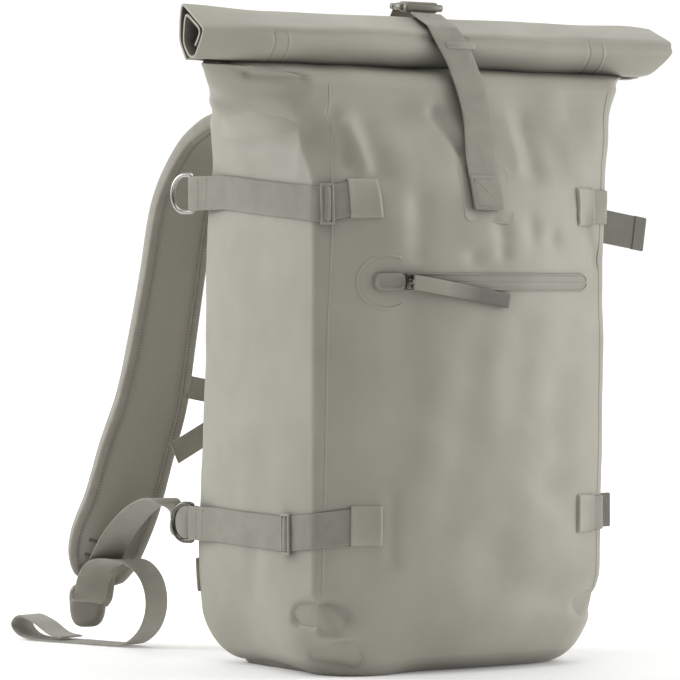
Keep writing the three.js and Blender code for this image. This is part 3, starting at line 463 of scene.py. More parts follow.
# Camera first, because everything is judged by it.
turn = math.radians(CAMERA["turn"])
view_ahead = Vector((math.sin(turn), math.cos(turn), 0))
view_right = Vector((math.cos(turn), -math.sin(turn), 0))
camera_data = bpy.data.cameras.new("photo_camera")
camera_data.lens = CAMERA["lens"]
camera_data.sensor_width = CAMERA["sensor"]
camera = bpy.data.objects.new("photo_camera", camera_data)
camera.location = -view_ahead * CAMERA["distance"] * MM + Vector((0, 0, CAMERA["eye"] * MM))
aim = view_ahead + view_right * CAMERA["aim_right"] + Vector((0, 0, CAMERA["aim_up"]))
camera.rotation_euler = aim.to_track_quat("-Z", "Y").to_euler()
bpy.context.scene.collection.objects.link(camera)
bpy.context.scene.camera = camera


# Tables and directions
def unit(vectors):
    return vectors / np.linalg.norm(vectors, axis=-1, keepdims=True)


def level(angle):
    """Level direction turned from +X by an angle in degrees."""
    radians = np.radians(angle)
    return np.stack([np.cos(radians), np.sin(radians), np.zeros_like(radians)], axis=-1)


def smooth_table(columns, rows):
    """Reads every column of a table at any value of its first one, smoothly between the rows."""
    table = np.array(rows, float)
    leads = table[:, 0]
    last = len(leads) - 1

    def read(lead):
        lead = np.clip(lead, leads[0], leads[-1])
        after = np.clip(np.searchsorted(leads, lead, side="right"), 1, last)
        before = after - 1
        earlier = np.where(before > 0, before - 1, after)
        later = np.where(after < last, after + 1, before)
        span = leads[after] - leads[before]
        pull_in = span / 2 / (leads[before] - leads[earlier])
        pull_out = span / 2 / (leads[later] - leads[after])
        t = (lead - leads[before]) / span
        weights = (
            (earlier, pull_in * (2 * t**2 - t**3 - t)),
            (before, (1 + pull_in) * t**3 - (1.5 + 2 * pull_in) * t**2 + (pull_in - 0.5) * t + 1),
            (after, (1.5 + pull_out) * t**2 - (1 + pull_out) * t**3 + 0.5 * t),
            (later, pull_out * (t**3 - t**2)),
        )
        values = sum(np.asarray(weight)[..., None] * table[row, 1:] for row, weight in weights)
        return dict(zip(columns[1:], np.moveaxis(values, -1, 0)))

    return read


def run_along(points):
    """How far each point lies from the first, along the line through them."""
    return np.concatenate([[0], np.cumsum(np.linalg.norm(np.diff(points, axis=0), axis=1))])


def even_run(rows, step):
    """Rows of a smooth line through the given rows, evenly spaced; the first three columns are the point."""
    rows = np.asarray(rows, float)
    chords = np.linalg.norm(np.diff(rows[:, :3], axis=0), axis=1)
    leads = np.concatenate([[0], np.cumsum(np.sqrt(chords))])
    names = ["lead"] + [str(i) for i in range(rows.shape[1])]
    fine = np.linspace(0, leads[-1], SAMPLES["row"] * len(rows))
    dense = np.column_stack(list(smooth_table(names, np.column_stack([leads, rows]))(fine).values()))
    run = run_along(dense[:, :3])
    even = np.linspace(0, run[-1], max(3, round(run[-1] / step)))
    return np.column_stack([np.interp(even, run, column) for column in dense.T])


# Surface of the bag
section_table = smooth_table(SECTION_COLUMNS, SECTIONS)


def section_at(z):
    """The section at a level, taken in by the rounding of the base."""
    section = section_table(z)
    below = np.clip((BASE_ROUND["rise"] - z) / BASE_ROUND["rise"], 0, 1)
    taken = BASE_ROUND["inset"] * (1 - np.sqrt(1 - below**2))
    section["corner_x"] = section["corner_x"] - taken
    section["front_y"] = section["front_y"] + taken
    section["back_y"] = section["back_y"] - taken
    for bulge in ("front_bulge", "right_bulge", "back_bulge", "left_bulge"):
        section[bulge] = section[bulge] * (1 - BASE_ROUND["flatten"] * below**2)
    section["pushed"] = PUSHED["depth"] * np.exp(-(((z - PUSHED["z"]) / PUSHED["reach"]) ** 2))
    return section


def corner_round(z, corner):
    """How far a corner is rounded at a level: tight up the bag, wide at the front's foot."""
    z, corner = np.asarray(z, float), np.asarray(corner)
    low = np.clip((CORNER["foot_from"] - z) / (CORNER["foot_from"] - CORNER["foot_to"]), 0, 1)
    foot = (CORNER["foot_round"] - CORNER["round"]) * low * low * (3 - 2 * low)
    in_front = (corner == FRONT_LEFT) | (corner == FRONT_RIGHT)
    return CORNER["round"] + np.where(in_front, foot, 0)


def panel_point(section, panel, along):
    """A point on one of the four panels, from -1 at its first corner to 1 at its last."""
    out = 1 - along**2
    mid_y = (section["front_y"] + section["back_y"]) / 2
    half_y = (section["back_y"] - section["front_y"]) / 2
    right = section["corner_x"] + section["right_bulge"] * out
    left = -section["corner_x"] - section["left_bulge"] * out
    near_left = np.clip(1 - (along + 1) * section["corner_x"] / PUSHED["over"], 0, 1)
    front = section["front_y"] - section["front_bulge"] * out + section["pushed"] * near_left
    back = section["back_y"] + section["back_bulge"] * out
    x = np.choose(panel, [along * section["corner_x"], right, -along * section["corner_x"], left])
    left_y = mid_y - along * half_y + section["pushed"] * ((1 + along) / 2) ** 2
    y = np.choose(panel, [front, mid_y + along * half_y, back, left_y])
    return np.stack([x, y], axis=-1)


def outline(place, z):
    """The bag's outline: places 0, 2, 4 and 6 begin the front, right, back and left panels,
    and the odd ones between begin the corners."""
    place, z = np.broadcast_arrays(np.asarray(place, float), np.asarray(z, float))
    section = section_at(z)
    wrapped = np.mod(place, ALL_ROUND)
    leg = np.floor(wrapped).astype(int)
    share = wrapped - leg
    panel = leg // 2
    following = (panel + 1) % 4
    half_y = (section["back_y"] - section["front_y"]) / 2

    def trim(index, corner):
        half = np.where(index % 2 == 1, half_y, section["corner_x"])
        return np.minimum(CORNER["most"], corner_round(z, corner) / half)

    first, last = trim(panel, (panel + 3) % 4), trim(panel, panel)
    flat = panel_point(section, panel, first - 1 + share * (2 - first - last))
    start = panel_point(section, panel, 1 - last)
    corner = panel_point(section, panel, np.ones_like(share))
    end = panel_point(section, following, trim(following, panel) - 1)
    t = share[..., None]
    bent = (1 - t) ** 2 * start + 2 * t * (1 - t) * corner + t**2 * end
    across = np.where((leg % 2 == 0)[..., None], flat, bent)
    return np.stack([across[..., 0] + section["mid_x"], across[..., 1], z], axis=-1)


def outward(place, z):
    step_place, step_z = 0.01, 0.5
    z = np.asarray(z, float)
    side = outline(place + step_place, z) - outline(place - step_place, z)
    rise = outline(place, np.minimum(z + step_z, NECK_Z)) - outline(place, np.maximum(z - step_z, 0))
    return unit(np.cross(side, rise))


dents = [dict(zip(SPOT_COLUMNS, row)) for row in DENTS]
puckers = [dict(zip(SPOT_COLUMNS, row)) for row in PUCKERS]
folds = [dict(zip(FOLD_COLUMNS, row)) for row in FOLDS]


def off_spot(points, spot):
    """How far points lie from a spot on the outline, sideways and up, in shares of its reach."""
    middle = outline(spot["place"], spot["z"])
    side = np.hypot(points[..., 0] - middle[0], points[..., 1] - middle[1]) / spot["side"]
    return side, (points[..., 2] - middle[2]) / spot["up"]


def relief(points):
    """How far dents, folds, puckers and ripple move the surface out at points of the outline."""
    height = np.zeros(points.shape[:-1])
    for dent in dents:
        side, up = off_spot(points, dent)
        height -= dent["depth"] * np.exp(-(side**2) - up**2)
    for fold in folds:
        start = outline(fold["place_a"], fold["z_a"])
        run = outline(fold["place_b"], fold["z_b"]) - start
        share = np.clip(((points - start) @ run) / (run @ run), 0, 1)
        off = np.linalg.norm(points - start - share[..., None] * run, axis=-1)
        height += fold["height"] * np.exp(-((off / fold["width"]) ** 2))
    for pucker in puckers:
        side, up = off_spot(points, pucker)
        height -= pucker["depth"] * np.clip(1 - side**2 - up**2, 0, 1)
    return height + ripple(points)


def ripple(points):
    """Small unevenness of the full cloth, and the upright gathers under the roll."""
    flat = points.reshape(-1, 3)
    depth = np.zeros(len(flat))
    for reach, size in RIPPLE:
        depth -= size * np.array([1 + noise.noise(Vector(point) / reach) for point in flat]) / 2
    reaches = Vector((1 / GATHER["across"], 1 / GATHER["across"], 1 / GATHER["up"]))
    gathers = np.array([noise.noise(Vector(point) * reaches) for point in flat])
    share = np.exp(-(((flat[:, 2] - GATHER["middle_z"]) / GATHER["reach"]) ** 2))
    in_front = np.clip((GATHER["from_y"] - flat[:, 1]) / GATHER["over"], 0, 1)
    depth += GATHER["depth"] * share * in_front * (gathers - 0.5)
    return (depth * np.clip(flat[:, 2] / BASE_ROUND["rise"], 0, 1)).reshape(points.shape[:-1])


def skin(place, z, lift=0.0):
    """The bag's surface, lifted off along its outward direction."""
    base = outline(place, z)
    return base + outward(place, z) * (lift + relief(base))[..., None]


def front_place(x, z):
    """Place on the front panel at a given X."""
    section = section_at(np.asarray(z, float))
    first = np.minimum(CORNER["most"], corner_round(z, FRONT_LEFT) / section["corner_x"])
    last = np.minimum(CORNER["most"], corner_round(z, FRONT_RIGHT) / section["corner_x"])
    return ((x - section["mid_x"]) / section["corner_x"] + 1 - first) / (2 - first - last)


def seam_places(line_x, levels):
    """Places at which the outline passes a line's X near the front's left corner, one for each level."""
    dense = np.linspace(*SEAM_LEFT_PLACES, SAMPLES["seam"])
    found = []
    for x, z in zip(line_x, levels):
        found.append(np.interp(x, outline(dense, np.full_like(dense, z))[:, 0], dense))
    return np.array(found)


def on_front(x, z, lift=0.0):
    return skin(front_place(x, z), z, lift)


def along_outline(place, z):
    """Direction along the outline at a place."""
    return skin(place + PLACE_STEP, z) - skin(place - PLACE_STEP, z)


def arc_places(start, stop, z, step):
    """Outline places between two others, evenly spaced along the surface."""
    dense = np.linspace(start, stop, SAMPLES["arc"])
    run = run_along(outline(dense, np.full_like(dense, z)))
    return np.interp(np.linspace(0, run[-1], max(3, round(run[-1] / step))), run, dense)


def walk(place, z, distance):
    """The outline place a given distance further round the bag."""
    dense = place + np.sign(distance) * np.linspace(0, WALK_REACH, SAMPLES["walk"])
    return np.interp(abs(distance), run_along(outline(dense, np.full_like(dense, z))), dense)


# Meshes
def piece(name, form, look, nodes=(), sharp=None):
    """A mesh object in the frame from (points, faces, texture places of the face corners)."""
    points, faces, places = form
    mesh = bpy.data.meshes.new(name)
    mesh.from_pydata((np.asarray(points) * MM).tolist(), [], faces)
    mesh.polygons.foreach_set("use_smooth", np.ones(len(mesh.polygons), bool))
    mesh.uv_layers.new(name="weave").data.foreach_set("uv", (np.asarray(places) * MM).ravel())
    if sharp is not None:
        mesh.set_sharp_from_angle(angle=math.radians(sharp))
    mesh.materials.append(LOOKS[look])
    made = bpy.data.objects.new("dressed_" + name, mesh)
    bpy.context.scene.collection.objects.link(made)
    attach(made, "root")
    if nodes:
        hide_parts(*nodes)
    return made


def loft(rings, lengthwise=None, around=None, looped=False, caps="fan"):
    """A form through rings of equal point counts, facing outwards. Its ends are closed by fans, or by
    strips where each ring runs out along one side of a sheet and back along the other."""
    rings = np.asarray(rings, float)
    count, sides = rings.shape[:2]
    spans = count if looped else count - 1
    if lengthwise is None:
        lengthwise = run_along(rings.mean(axis=1))
    if looped:
        lengthwise = np.append(lengthwise, lengthwise[-1] + 1)
    if around is None:
        around = run_along(np.vstack([rings[0], rings[0][:1]]))
    i, j = np.meshgrid(np.arange(spans), np.arange(sides), indexing="ij")
    i_next, j_next = (i + 1) % count, (j + 1) % sides
    corners = (i * sides + j, i * sides + j_next, i_next * sides + j_next, i_next * sides + j)
    quads = np.stack(corners, axis=-1).reshape(-1, 4)
    spots = [(lengthwise[i], around[j]), (lengthwise[i], around[j + 1])]
    spots += [(lengthwise[i + 1], around[j + 1]), (lengthwise[i + 1], around[j])]
    places = np.stack([np.stack(spot, axis=-1) for spot in spots], axis=2).reshape(-1, 4, 2)
    points = rings.reshape(-1, 3)
    end_faces = []
    if caps == "strip":
        last = (count - 1) * sides
        for k in range(sides // 2 - 1):
            end_faces.append((k + 1, k, sides - 1 - k, sides - 2 - k))
            end_faces.append((last + k, last + k + 1, last + sides - 2 - k, last + sides - 1 - k))
    if caps == "fan" and not looped:
        points = np.vstack([points, rings[0].mean(axis=0), rings[-1].mean(axis=0)])
        first, last = len(points) - 2, (count - 1) * sides
        for k in range(sides):
            after = (k + 1) % sides
            end_faces.append((first, after, k))
            end_faces.append((first + 1, last + k, last + after))
    a, b, c = (points[quads[:, k]] for k in (0, 1, 2))
    if np.einsum("ij,ij->", a - points.mean(axis=0), np.cross(b - a, c - a)) < 0:
        quads, places = quads[:, ::-1], places[:, ::-1]
        end_faces = [face[::-1] for face in end_faces]
    faces = quads.tolist() + end_faces
    end_corners = sum(len(face) for face in end_faces)
    flat_places = np.vstack([places.reshape(-1, 2), np.zeros((end_corners, 2))])
    return points, faces, flat_places


def mirrored(form):
    """The form's mirror image, left to right."""
    points, faces, places = form
    turned = [list(face)[::-1] for face in faces]
    return points * np.array([-1.0, 1.0, 1.0]), turned, turned_places(faces, places)


def turned_places(faces, places):
    """Texture places of the face corners after each face is turned round."""
    turned, at = [], 0
    for face in faces:
        turned.append(places[at:at + len(face)][::-1])
        at += len(face)
    return np.vstack(turned)


def joined(forms):
    """One form of several."""
    points, faces, places, first = [], [], [], 0
    for some_points, some_faces, some_places in forms:
        points.append(some_points)
        faces += [[index + first for index in face] for face in some_faces]
        places.append(some_places)
        first += len(some_points)
    return np.vstack(points), faces, np.vstack(places)


# Flat webbing with soft edges
WEB_PROFILE = np.array(
    [(-1, 0), (-0.975, 0.7), (-0.92, 1), (-0.5, 1), (0, 1), (0.5, 1), (0.92, 1), (0.975, 0.7),
     (1, 0), (0.975, -0.7), (0.92, -1), (0.5, -1), (0, -1), (-0.5, -1), (-0.92, -1), (-0.975, -0.7)]
)
OUTER_FACE = slice(2, 7)


def web_form(rings, width):
    """Loft of webbing rings, with the weave's place across taken from the profile."""
    around = np.append(WEB_PROFILE[:, 0], WEB_PROFILE[0, 0]) * width / 2
    return loft(rings, around=around)


def ribbon_rings(middle, across, size):
    """Rings of webbing along a line of points."""
    along = unit(np.gradient(middle, axis=0))
    across = np.broadcast_to(across, middle.shape)
    side = unit(across - np.sum(across * along, axis=-1, keepdims=True) * along)
    face = np.cross(along, side)
    offset = side[:, None] * WEB_PROFILE[None, :, :1] * size["width"] / 2
    return middle[:, None] + offset + face[:, None] * WEB_PROFILE[None, :, 1:] * size["thick"] / 2


def ribbon(rows, across, size=WEBBING, step=BAND_STEP):
    """Webbing along a smooth line; across is one direction or a function of the spaced rows."""
    run = even_run(rows, step)
    side = across(run) if callable(across) else across
    return web_form(ribbon_rings(run[:, :3], side, size), size["width"])


def band_rings(places, heights, size, lift):
    """Rings of webbing that lies on the bag."""
    z = heights[:, None] + WEB_PROFILE[None, :, 0] * size["width"] / 2
    rise = lift + (WEB_PROFILE[None, :, 1] + 1) / 2 * size["thick"]
    return skin(places[:, None] + 0 * z, z, rise + 0 * z)


def bead(places, heights, width, height):
    """A half-round weld line on the bag."""
    places, heights = np.asarray(places, float), np.asarray(heights, float)
    middle = skin(places, heights)
    out = outward(places, heights)
    side = np.cross(unit(np.gradient(middle, axis=0)), out)
    rings = []
    for angle in np.linspace(0, math.pi, BEAD["steps"]):
        rise = math.sin(angle) * height - BEAD["sunk"]
        rings.append(middle + side * (math.cos(angle) * width / 2) + out * rise)
    return loft(np.stack(rings, axis=1))


def raised_shape(middle_x, middle_z, edge, insets):
    """A welded shape on the front: its edge, then rings of an inset and a height over the bag."""
    half = np.abs(edge).max(axis=0)
    rings = []
    for inset, lift in insets:
        ring = edge * np.maximum(1 - inset / half, SMALLEST_RING)
        x, z = middle_x + ring[:, 0], middle_z + ring[:, 1]
        rings.append(on_front(x, z, lift))
    return loft(rings)


def round_edge(width, height, radius, steps=6):
    """Edge of a rectangle with round corners, round its middle."""
    points = []
    for corner in range(4):
        centre_x = (width / 2 - radius) * (1 if corner in (0, 3) else -1)
        centre_y = (height / 2 - radius) * (1 if corner in (0, 1) else -1)
        for angle in np.linspace(corner * 90, corner * 90 + 90, steps):
            points.append((centre_x + radius * math.cos(math.radians(angle)),
                           centre_y + radius * math.sin(math.radians(angle))))
    return np.array(points)


def block(middle, size, bevel, x_axis=(1, 0, 0), y_axis=(0, 1, 0), segments=3):
    """A box with rounded edges along given directions."""
    made = bmesh.new()
    bmesh.ops.create_cube(made, size=1.0, matrix=Matrix.Diagonal((*size, 1.0)))
    bmesh.ops.bevel(made, geom=made.edges[:], offset=bevel, segments=segments, profile=0.5, affect="EDGES")
    x = unit(np.asarray(x_axis, float))
    z = unit(np.cross(x, np.asarray(y_axis, float)))
    y = np.cross(z, x)
    made.verts.index_update()
    local = np.array([vertex.co[:] for vertex in made.verts])
    points = np.asarray(middle, float) + local @ np.stack([x, y, z])
    faces = [[vertex.index for vertex in face.verts] for face in made.faces]
    made.free()
    return points, faces, np.zeros((sum(len(face) for face in faces), 2))


def stitch_row(line, out, radius=STITCH["radius"]):
    """Thread stitches along a line of points, standing on a surface with the given outward directions."""
    line, out = np.asarray(line, float), np.broadcast_to(np.asarray(out, float), np.shape(line))
    run = run_along(line)
    spots = np.arange(STITCH["pitch"] / 2, run[-1], STITCH["pitch"])

    def read(rows, at):
        return np.column_stack([np.interp(at, run, column) for column in rows.T])

    face = unit(read(out, spots))
    along = unit(read(line, spots + STITCH["look_ahead"]) - read(line, spots - STITCH["look_ahead"]))
    side = np.cross(along, face)
    tip = along * STITCH["length"] / 2
    steps = [tip, side * radius, face * radius, -side * radius, -face * radius, -tip]
    points = np.stack([read(line, spots) + step for step in steps], axis=1).reshape(-1, 3)
    shape = [(0, 1, 2), (0, 2, 3), (0, 3, 4), (0, 4, 1), (5, 2, 1), (5, 3, 2), (5, 4, 3), (5, 1, 4)]
    faces = [[len(steps) * i + corner for corner in corners] for i in range(len(spots)) for corners in shape]
    return points, faces, np.zeros((3 * len(faces), 2))


# Materials
class Look:
    """A material and short ways to wire its nodes. Sizes are in millimetres."""

    def __init__(self, name, colour, roughness, metallic=0.0, specular=0.5, sheen=0.0):
        self.material = bpy.data.materials.new(name)
        self.material.use_nodes = True
        self.tree = self.material.node_tree
        self.shader = self.tree.nodes["Principled BSDF"]
        self.colour = colour
        settings = {"Base Color": (*colour, 1), "Roughness": roughness, "Metallic": metallic}
        settings |= {"Specular IOR Level": specular, "Sheen Weight": sheen}
        for socket, value in settings.items():
            self.put(value, self.shader.inputs[socket])
        self.source = self.node("ShaderNodeTexCoord")

    def node(self, kind, **settings):
        made = self.tree.nodes.new(kind)
        for key, value in settings.items():
            setattr(made, key, value)
        return made

    def put(self, value, socket):
        """Sets a socket to a number or colour, or wires another socket to it."""
        if isinstance(value, bpy.types.NodeSocket):
            self.tree.links.new(value, socket)
        else:
            socket.default_value = value

    def sum(self, operation, first, second):
        """A value worked out from two others, each a socket or a number."""
        made = self.node("ShaderNodeMath", operation=operation)
        self.put(first, made.inputs[0])
        self.put(second, made.inputs[1])
        return made.outputs[0]

    def cloud(self, size, detail=3.0):
        """Soft noise with features of about a size."""
        made = self.node("ShaderNodeTexNoise")
        made.inputs["Scale"].default_value = 1 / (size * MM)
        made.inputs["Detail"].default_value = detail
        self.put(self.source.outputs["Object"], made.inputs["Vector"])
        return made.outputs["Fac"]

    def weave(self, axis):
        """The weave's place lengthwise (0) or across (1)."""
        split = self.node("ShaderNodeSeparateXYZ")
        self.put(self.source.outputs["UV"], split.inputs[0])
        return split.outputs[axis]

    def ribs(self, size, axis):
        """Waves over the weave's places."""
        return self.sum("SINE", self.sum("MULTIPLY", self.weave(axis), 2 * math.pi / (size * MM)), 0)

    def spread(self, value, low, high, from_low=0.3, from_high=0.7):
        """A value taken from one range to another."""
        made = self.node("ShaderNodeMapRange")
        limits = {"Value": value, "From Min": from_low, "From Max": from_high, "To Min": low, "To Max": high}
        for socket, limit in limits.items():
            self.put(limit, made.inputs[socket])
        return made.outputs[0]

    def mix(self, factor, first, second, blend="MIX"):
        """Base colour mixed from two others, each a socket or a colour."""
        made = self.node("ShaderNodeMix", data_type="RGBA", blend_type=blend)
        colours = [socket for socket in made.inputs if socket.type == "RGBA"]
        for value, socket in zip((factor, first, second), (made.inputs[0], *colours)):
            self.put(value, socket)
        result = next(socket for socket in made.outputs if socket.type == "RGBA")
        self.put(result, self.shader.inputs["Base Color"])

    def tint(self, factor, darkest, lightest):
        """Base colour between a darker and a lighter shade of the material."""
        shades = [(*(channel * share for channel in self.colour), 1) for share in (darkest, lightest)]
        self.mix(factor, *shades)

    def painted_shade(self, reach, dark):
        """Painted shade: darkens the base colour where other surfaces lie close and shade falls there."""
        made = self.node("ShaderNodeAmbientOcclusion", samples=8)
        made.inputs["Distance"].default_value = reach * MM
        shade = self.spread(made.outputs["AO"], low=dark, high=1, from_low=0, from_high=1)
        self.mix(1.0, self.shader.inputs["Base Color"].links[0].from_socket, shade, "MULTIPLY")

    def bump(self, value, depth, strength):
        made = self.node("ShaderNodeBump")
        made.inputs["Distance"].default_value = depth * MM
        made.inputs["Strength"].default_value = strength
        self.put(value, made.inputs["Height"])
        self.put(made.outputs[0], self.shader.inputs["Normal"])


def coated_look(name, colour, painted_shade=PAINTED_SHADE, weave=True):
    """Satin coating, over a fine weave or plain."""
    look = Look(name, colour, roughness=0.43, specular=0.4, sheen=0.08)
    look.tint(look.spread(look.cloud(size=58, detail=4), 0, 1), darkest=0.93, lightest=1.05)
    # Painted shade where other surfaces lie close.
    look.painted_shade(**painted_shade)
    look.put(look.spread(look.cloud(size=26), low=0.42, high=0.56), look.shader.inputs["Roughness"])
    grain = look.cloud(size=0.9, detail=2)
    if weave:
        threads = look.sum("MULTIPLY", look.ribs(size=1.3, axis=0), look.ribs(size=1.3, axis=1))
        grain = look.sum("ADD", grain, look.sum("MULTIPLY", threads, 0.3))
    look.bump(grain, depth=0.12, strength=0.25)
    return look.material


def woven_look(name, colour, rib=1.5, depth=0.35):
    """Ribbed webbing or tape."""
    look = Look(name, colour, roughness=0.72, specular=0.3, sheen=0.25)
    lengthwise, across = look.ribs(rib, axis=0), look.ribs(rib * 0.8, axis=1)
    ribbed = look.sum("MULTIPLY", lengthwise, 0.4)
    threads = look.sum("ADD", look.sum("MULTIPLY", lengthwise, across), ribbed)
    fuzz = look.sum("ADD", look.sum("MULTIPLY", threads, 0.10), look.cloud(size=14, detail=2))
    look.tint(look.spread(fuzz, 0, 1, from_low=0.25, from_high=0.75), darkest=0.90, lightest=1.06)
    look.bump(threads, depth, strength=0.5)
    return look.material


def pull_look(name, colour):
    """A coated pull that darkens towards its free end."""
    look = Look(name, colour, roughness=0.6)
    near = look.spread(look.weave(axis=0), 1, 0, PULL_SHADE["from"] * MM, PULL_SHADE["to"] * MM)
    look.tint(near, PULL_SHADE["dark"], lightest=1.05)
    look.bump(look.cloud(size=1.1, detail=2), depth=0.05, strength=0.2)
    return look.material


def mesh_look(name, colour):
    """Open mesh."""
    look = Look(name, colour, roughness=0.85, sheen=0.3)
    cells = look.node("ShaderNodeTexVoronoi")
    cells.inputs["Scale"].default_value = 1 / (MESH_CELL * MM)
    cells.inputs["Randomness"].default_value = 0.25
    look.put(look.source.outputs["UV"], cells.inputs["Vector"])
    holes = look.spread(cells.outputs["Distance"], 0, 1, from_low=0.15, from_high=0.6)
    look.tint(holes, darkest=0.86, lightest=1.06)
    look.bump(holes, depth=0.3, strength=0.4)
    return look.material


def plain_look(name, colour, roughness, metallic=0.0):
    """Moulded plastic, thread or plated metal with faint unevenness."""
    look = Look(name, colour, roughness, metallic)
    uneven = look.spread(look.cloud(size=9, detail=4), low=roughness * 0.8, high=roughness * 1.25)
    look.put(uneven, look.shader.inputs["Roughness"])
    look.tint(look.spread(look.cloud(size=14), 0, 1), darkest=0.93, lightest=1.05)
    look.bump(look.cloud(size=1.1, detail=2), depth=0.05, strength=0.2)
    return look.material


LOOKS = {
    "fabric": coated_look("coated_fabric", COLOURS["fabric"]),
    # The roll's folds and underside get a deeper painted shade than the body.
    "roll": coated_look("rolled_fabric", COLOURS["fabric"], ROLL_PAINTED_SHADE),
    "webbing": woven_look("flat_webbing", COLOURS["webbing"]),
    "mesh": mesh_look("pad_mesh", COLOURS["mesh"]),
    "binding": woven_look("edge_binding", COLOURS["binding"], rib=1.1, depth=0.25),
    "plastic": plain_look("moulded_plastic", COLOURS["plastic"], roughness=0.18),
    "light_plastic": plain_look("light_plastic", COLOURS["light_plastic"], roughness=0.42),
    "zip": coated_look("zip_film", COLOURS["zip"], weave=False),
    "thread": plain_look("thread", COLOURS["thread"], roughness=0.7),
    "steel": plain_look("painted_light_steel", COLOURS["steel"], roughness=0.26, metallic=1.0),
    "dark_steel_and_painted_shade": plain_look("dark_steel_and_painted_shade", COLOURS["dark_steel_and_painted_shade"], roughness=0.26, metallic=1.0),
    "slider": plain_look("slider_steel", COLOURS["slider"], roughness=0.42, metallic=0.15),
    "pull": pull_look("zip_pull", COLOURS["webbing"]),
    # Darker copy of the webbing for the loose ends: painted shade.
    "tail": woven_look("shaded_webbing", COLOURS["tail"]),
    "loop": woven_look("painted_light_webbing", COLOURS["loop"]),
}


# Bag body: the outside from the base to the neck, then the inside back down.
def shell_places():
    places = []
    for start, leg in enumerate(SHELL_LEGS):
        places.append(start + np.arange(SHELL_STEPS[leg]) / SHELL_STEPS[leg])
    return np.concatenate(places)


def shell_levels():
    turns = np.linspace(math.pi / 2, 0, SHELL_STEPS["base"])
    rounded = BASE_ROUND["rise"] * (1 - np.sin(turns))
    rise = np.arange(BASE_ROUND["rise"] + SHELL_STEPS["rise"], NECK_Z, SHELL_STEPS["rise"])
    return np.concatenate([rounded, rise, [NECK_Z]])


def shell_form():
    places, levels = shell_places(), shell_levels()
    grid_place, grid_z = np.meshgrid(places, levels)
    outside = skin(grid_place, grid_z)
    outside[..., 2] = np.maximum(outside[..., 2], 0)
    outside[0, :, 2] = 0
    chosen = np.unique(np.linspace(0, len(levels) - 1, SHELL_STEPS["inside"]).round().astype(int))[::-1]
    inside = outside[chosen] - outward(grid_place[chosen], grid_z[chosen]) * WALL
    inside[..., 2] = np.maximum(inside[..., 2], WALL)
    middle = outline(places, np.full_like(places, WEAVE_Z))
    around = run_along(np.vstack([middle, middle[:1]]))
    lengthwise = np.concatenate([levels, NECK_Z + 1 + np.arange(len(chosen))])
    return loft(np.concatenate([outside, inside]), lengthwise, around)


piece("bag_body", shell_form(), "fabric", ["bag_shell"])

# Weld lines up the corners of the front and the back
seam_levels = np.linspace(SEAM["low"], SEAM["high"], SEAM["steps"])
seam_section = section_at(seam_levels)
right_x = seam_section["mid_x"] + seam_section["corner_x"] - SEAM["right_in"]
seam_lines = [
    seam_places(np.interp(seam_levels, *zip(*SEAM_LEFT)), seam_levels),
    front_place(right_x, seam_levels),
    *(np.full_like(seam_levels, place) for place in SEAM_BACK),
]
seams = [bead(places, seam_levels, SEAM["width"], SEAM["height"]) for places in seam_lines]
piece("weld_lines", joined(seams), "fabric")


# Rolled neck
def rounded_line(corners):
    """A line of corners with each corner rounded off."""
    line = [corners[0]]
    for before, corner, after in zip(corners, corners[1:], corners[2:]):
        ends = []
        for other in (before, after):
            step = other - corner
            ends.append(corner + step * min(ROLL["round_share"], ROLL["round"] / np.linalg.norm(step)))
        for t in np.linspace(0, 1, ROLL["round_steps"]):
            line.append((1 - t) ** 2 * ends[0] + 2 * t * (1 - t) * corner + t**2 * ends[1])
    line.append(corners[-1])
    return np.array(line)


def roll_form():
    rows = np.array(ROLL_ROWS, float)
    wave_places = rows[:, :2] / ROLL_WAVES["section"]
    spans = [np.linspace(ROLL["left"], ROLL["right"], ROLL["steps"])]
    for weld_x, height in ROLL_WELDS:
        spans.append(weld_x + np.linspace(-ROLL_WELD["reach"], ROLL_WELD["reach"], ROLL_WELD["steps"]))
    rings = []
    for x in np.unique(np.concatenate(spans)):
        end = np.clip(1 - (x - ROLL["left"]) / ROLL["left_reach"], 0, 1)
        end = end * end * (3 - 2 * end)
        right = np.clip(1 - (ROLL["right"] - x) / ROLL_RIGHT["reach"], 0, 1)
        corners = rows[:, :2] * (1 - end) + rows[:, 2:] * end
        corners = corners * (1 - ROLL_RIGHT["pinch"] * right**2)
        waves = [noise.noise(Vector((x / ROLL_WAVES["length"], *place))) for place in wave_places]
        line = rounded_line(corners + np.array(waves)[:, None] * ROLL_WAVES["depth"] * (1 - end))
        along = unit(np.gradient(line, axis=0))
        across = np.stack([along[:, 1], -along[:, 0]], axis=-1)
        weld = sum(height * math.exp(-(((x - at) / ROLL_WELD["width"]) ** 2)) for at, height in ROLL_WELDS)
        in_front = np.clip((ROLL_WELD["top"] - line[:, 1]) / ROLL_WELD["fade"], 0, 1)
        outer = line + across * (ROLL["thick"] / 2 + weld * in_front)[:, None]
        inner = line - across * ROLL["thick"] / 2
        strip = np.vstack([outer, inner[::-1]])
        slant = ROLL_RIGHT["slant"] * right * np.maximum(0, -strip[:, 1]) / ROLL_RIGHT["slant_over"]
        rings.append(np.column_stack([x - slant, ROLL["mid_y"] + strip[:, 0], ROLL["mid_z"] + strip[:, 1]]))
    return loft(rings, caps="strip")


piece("rolled_neck", roll_form(), "roll", ["roll_top"], sharp=ROLL_EDGE)

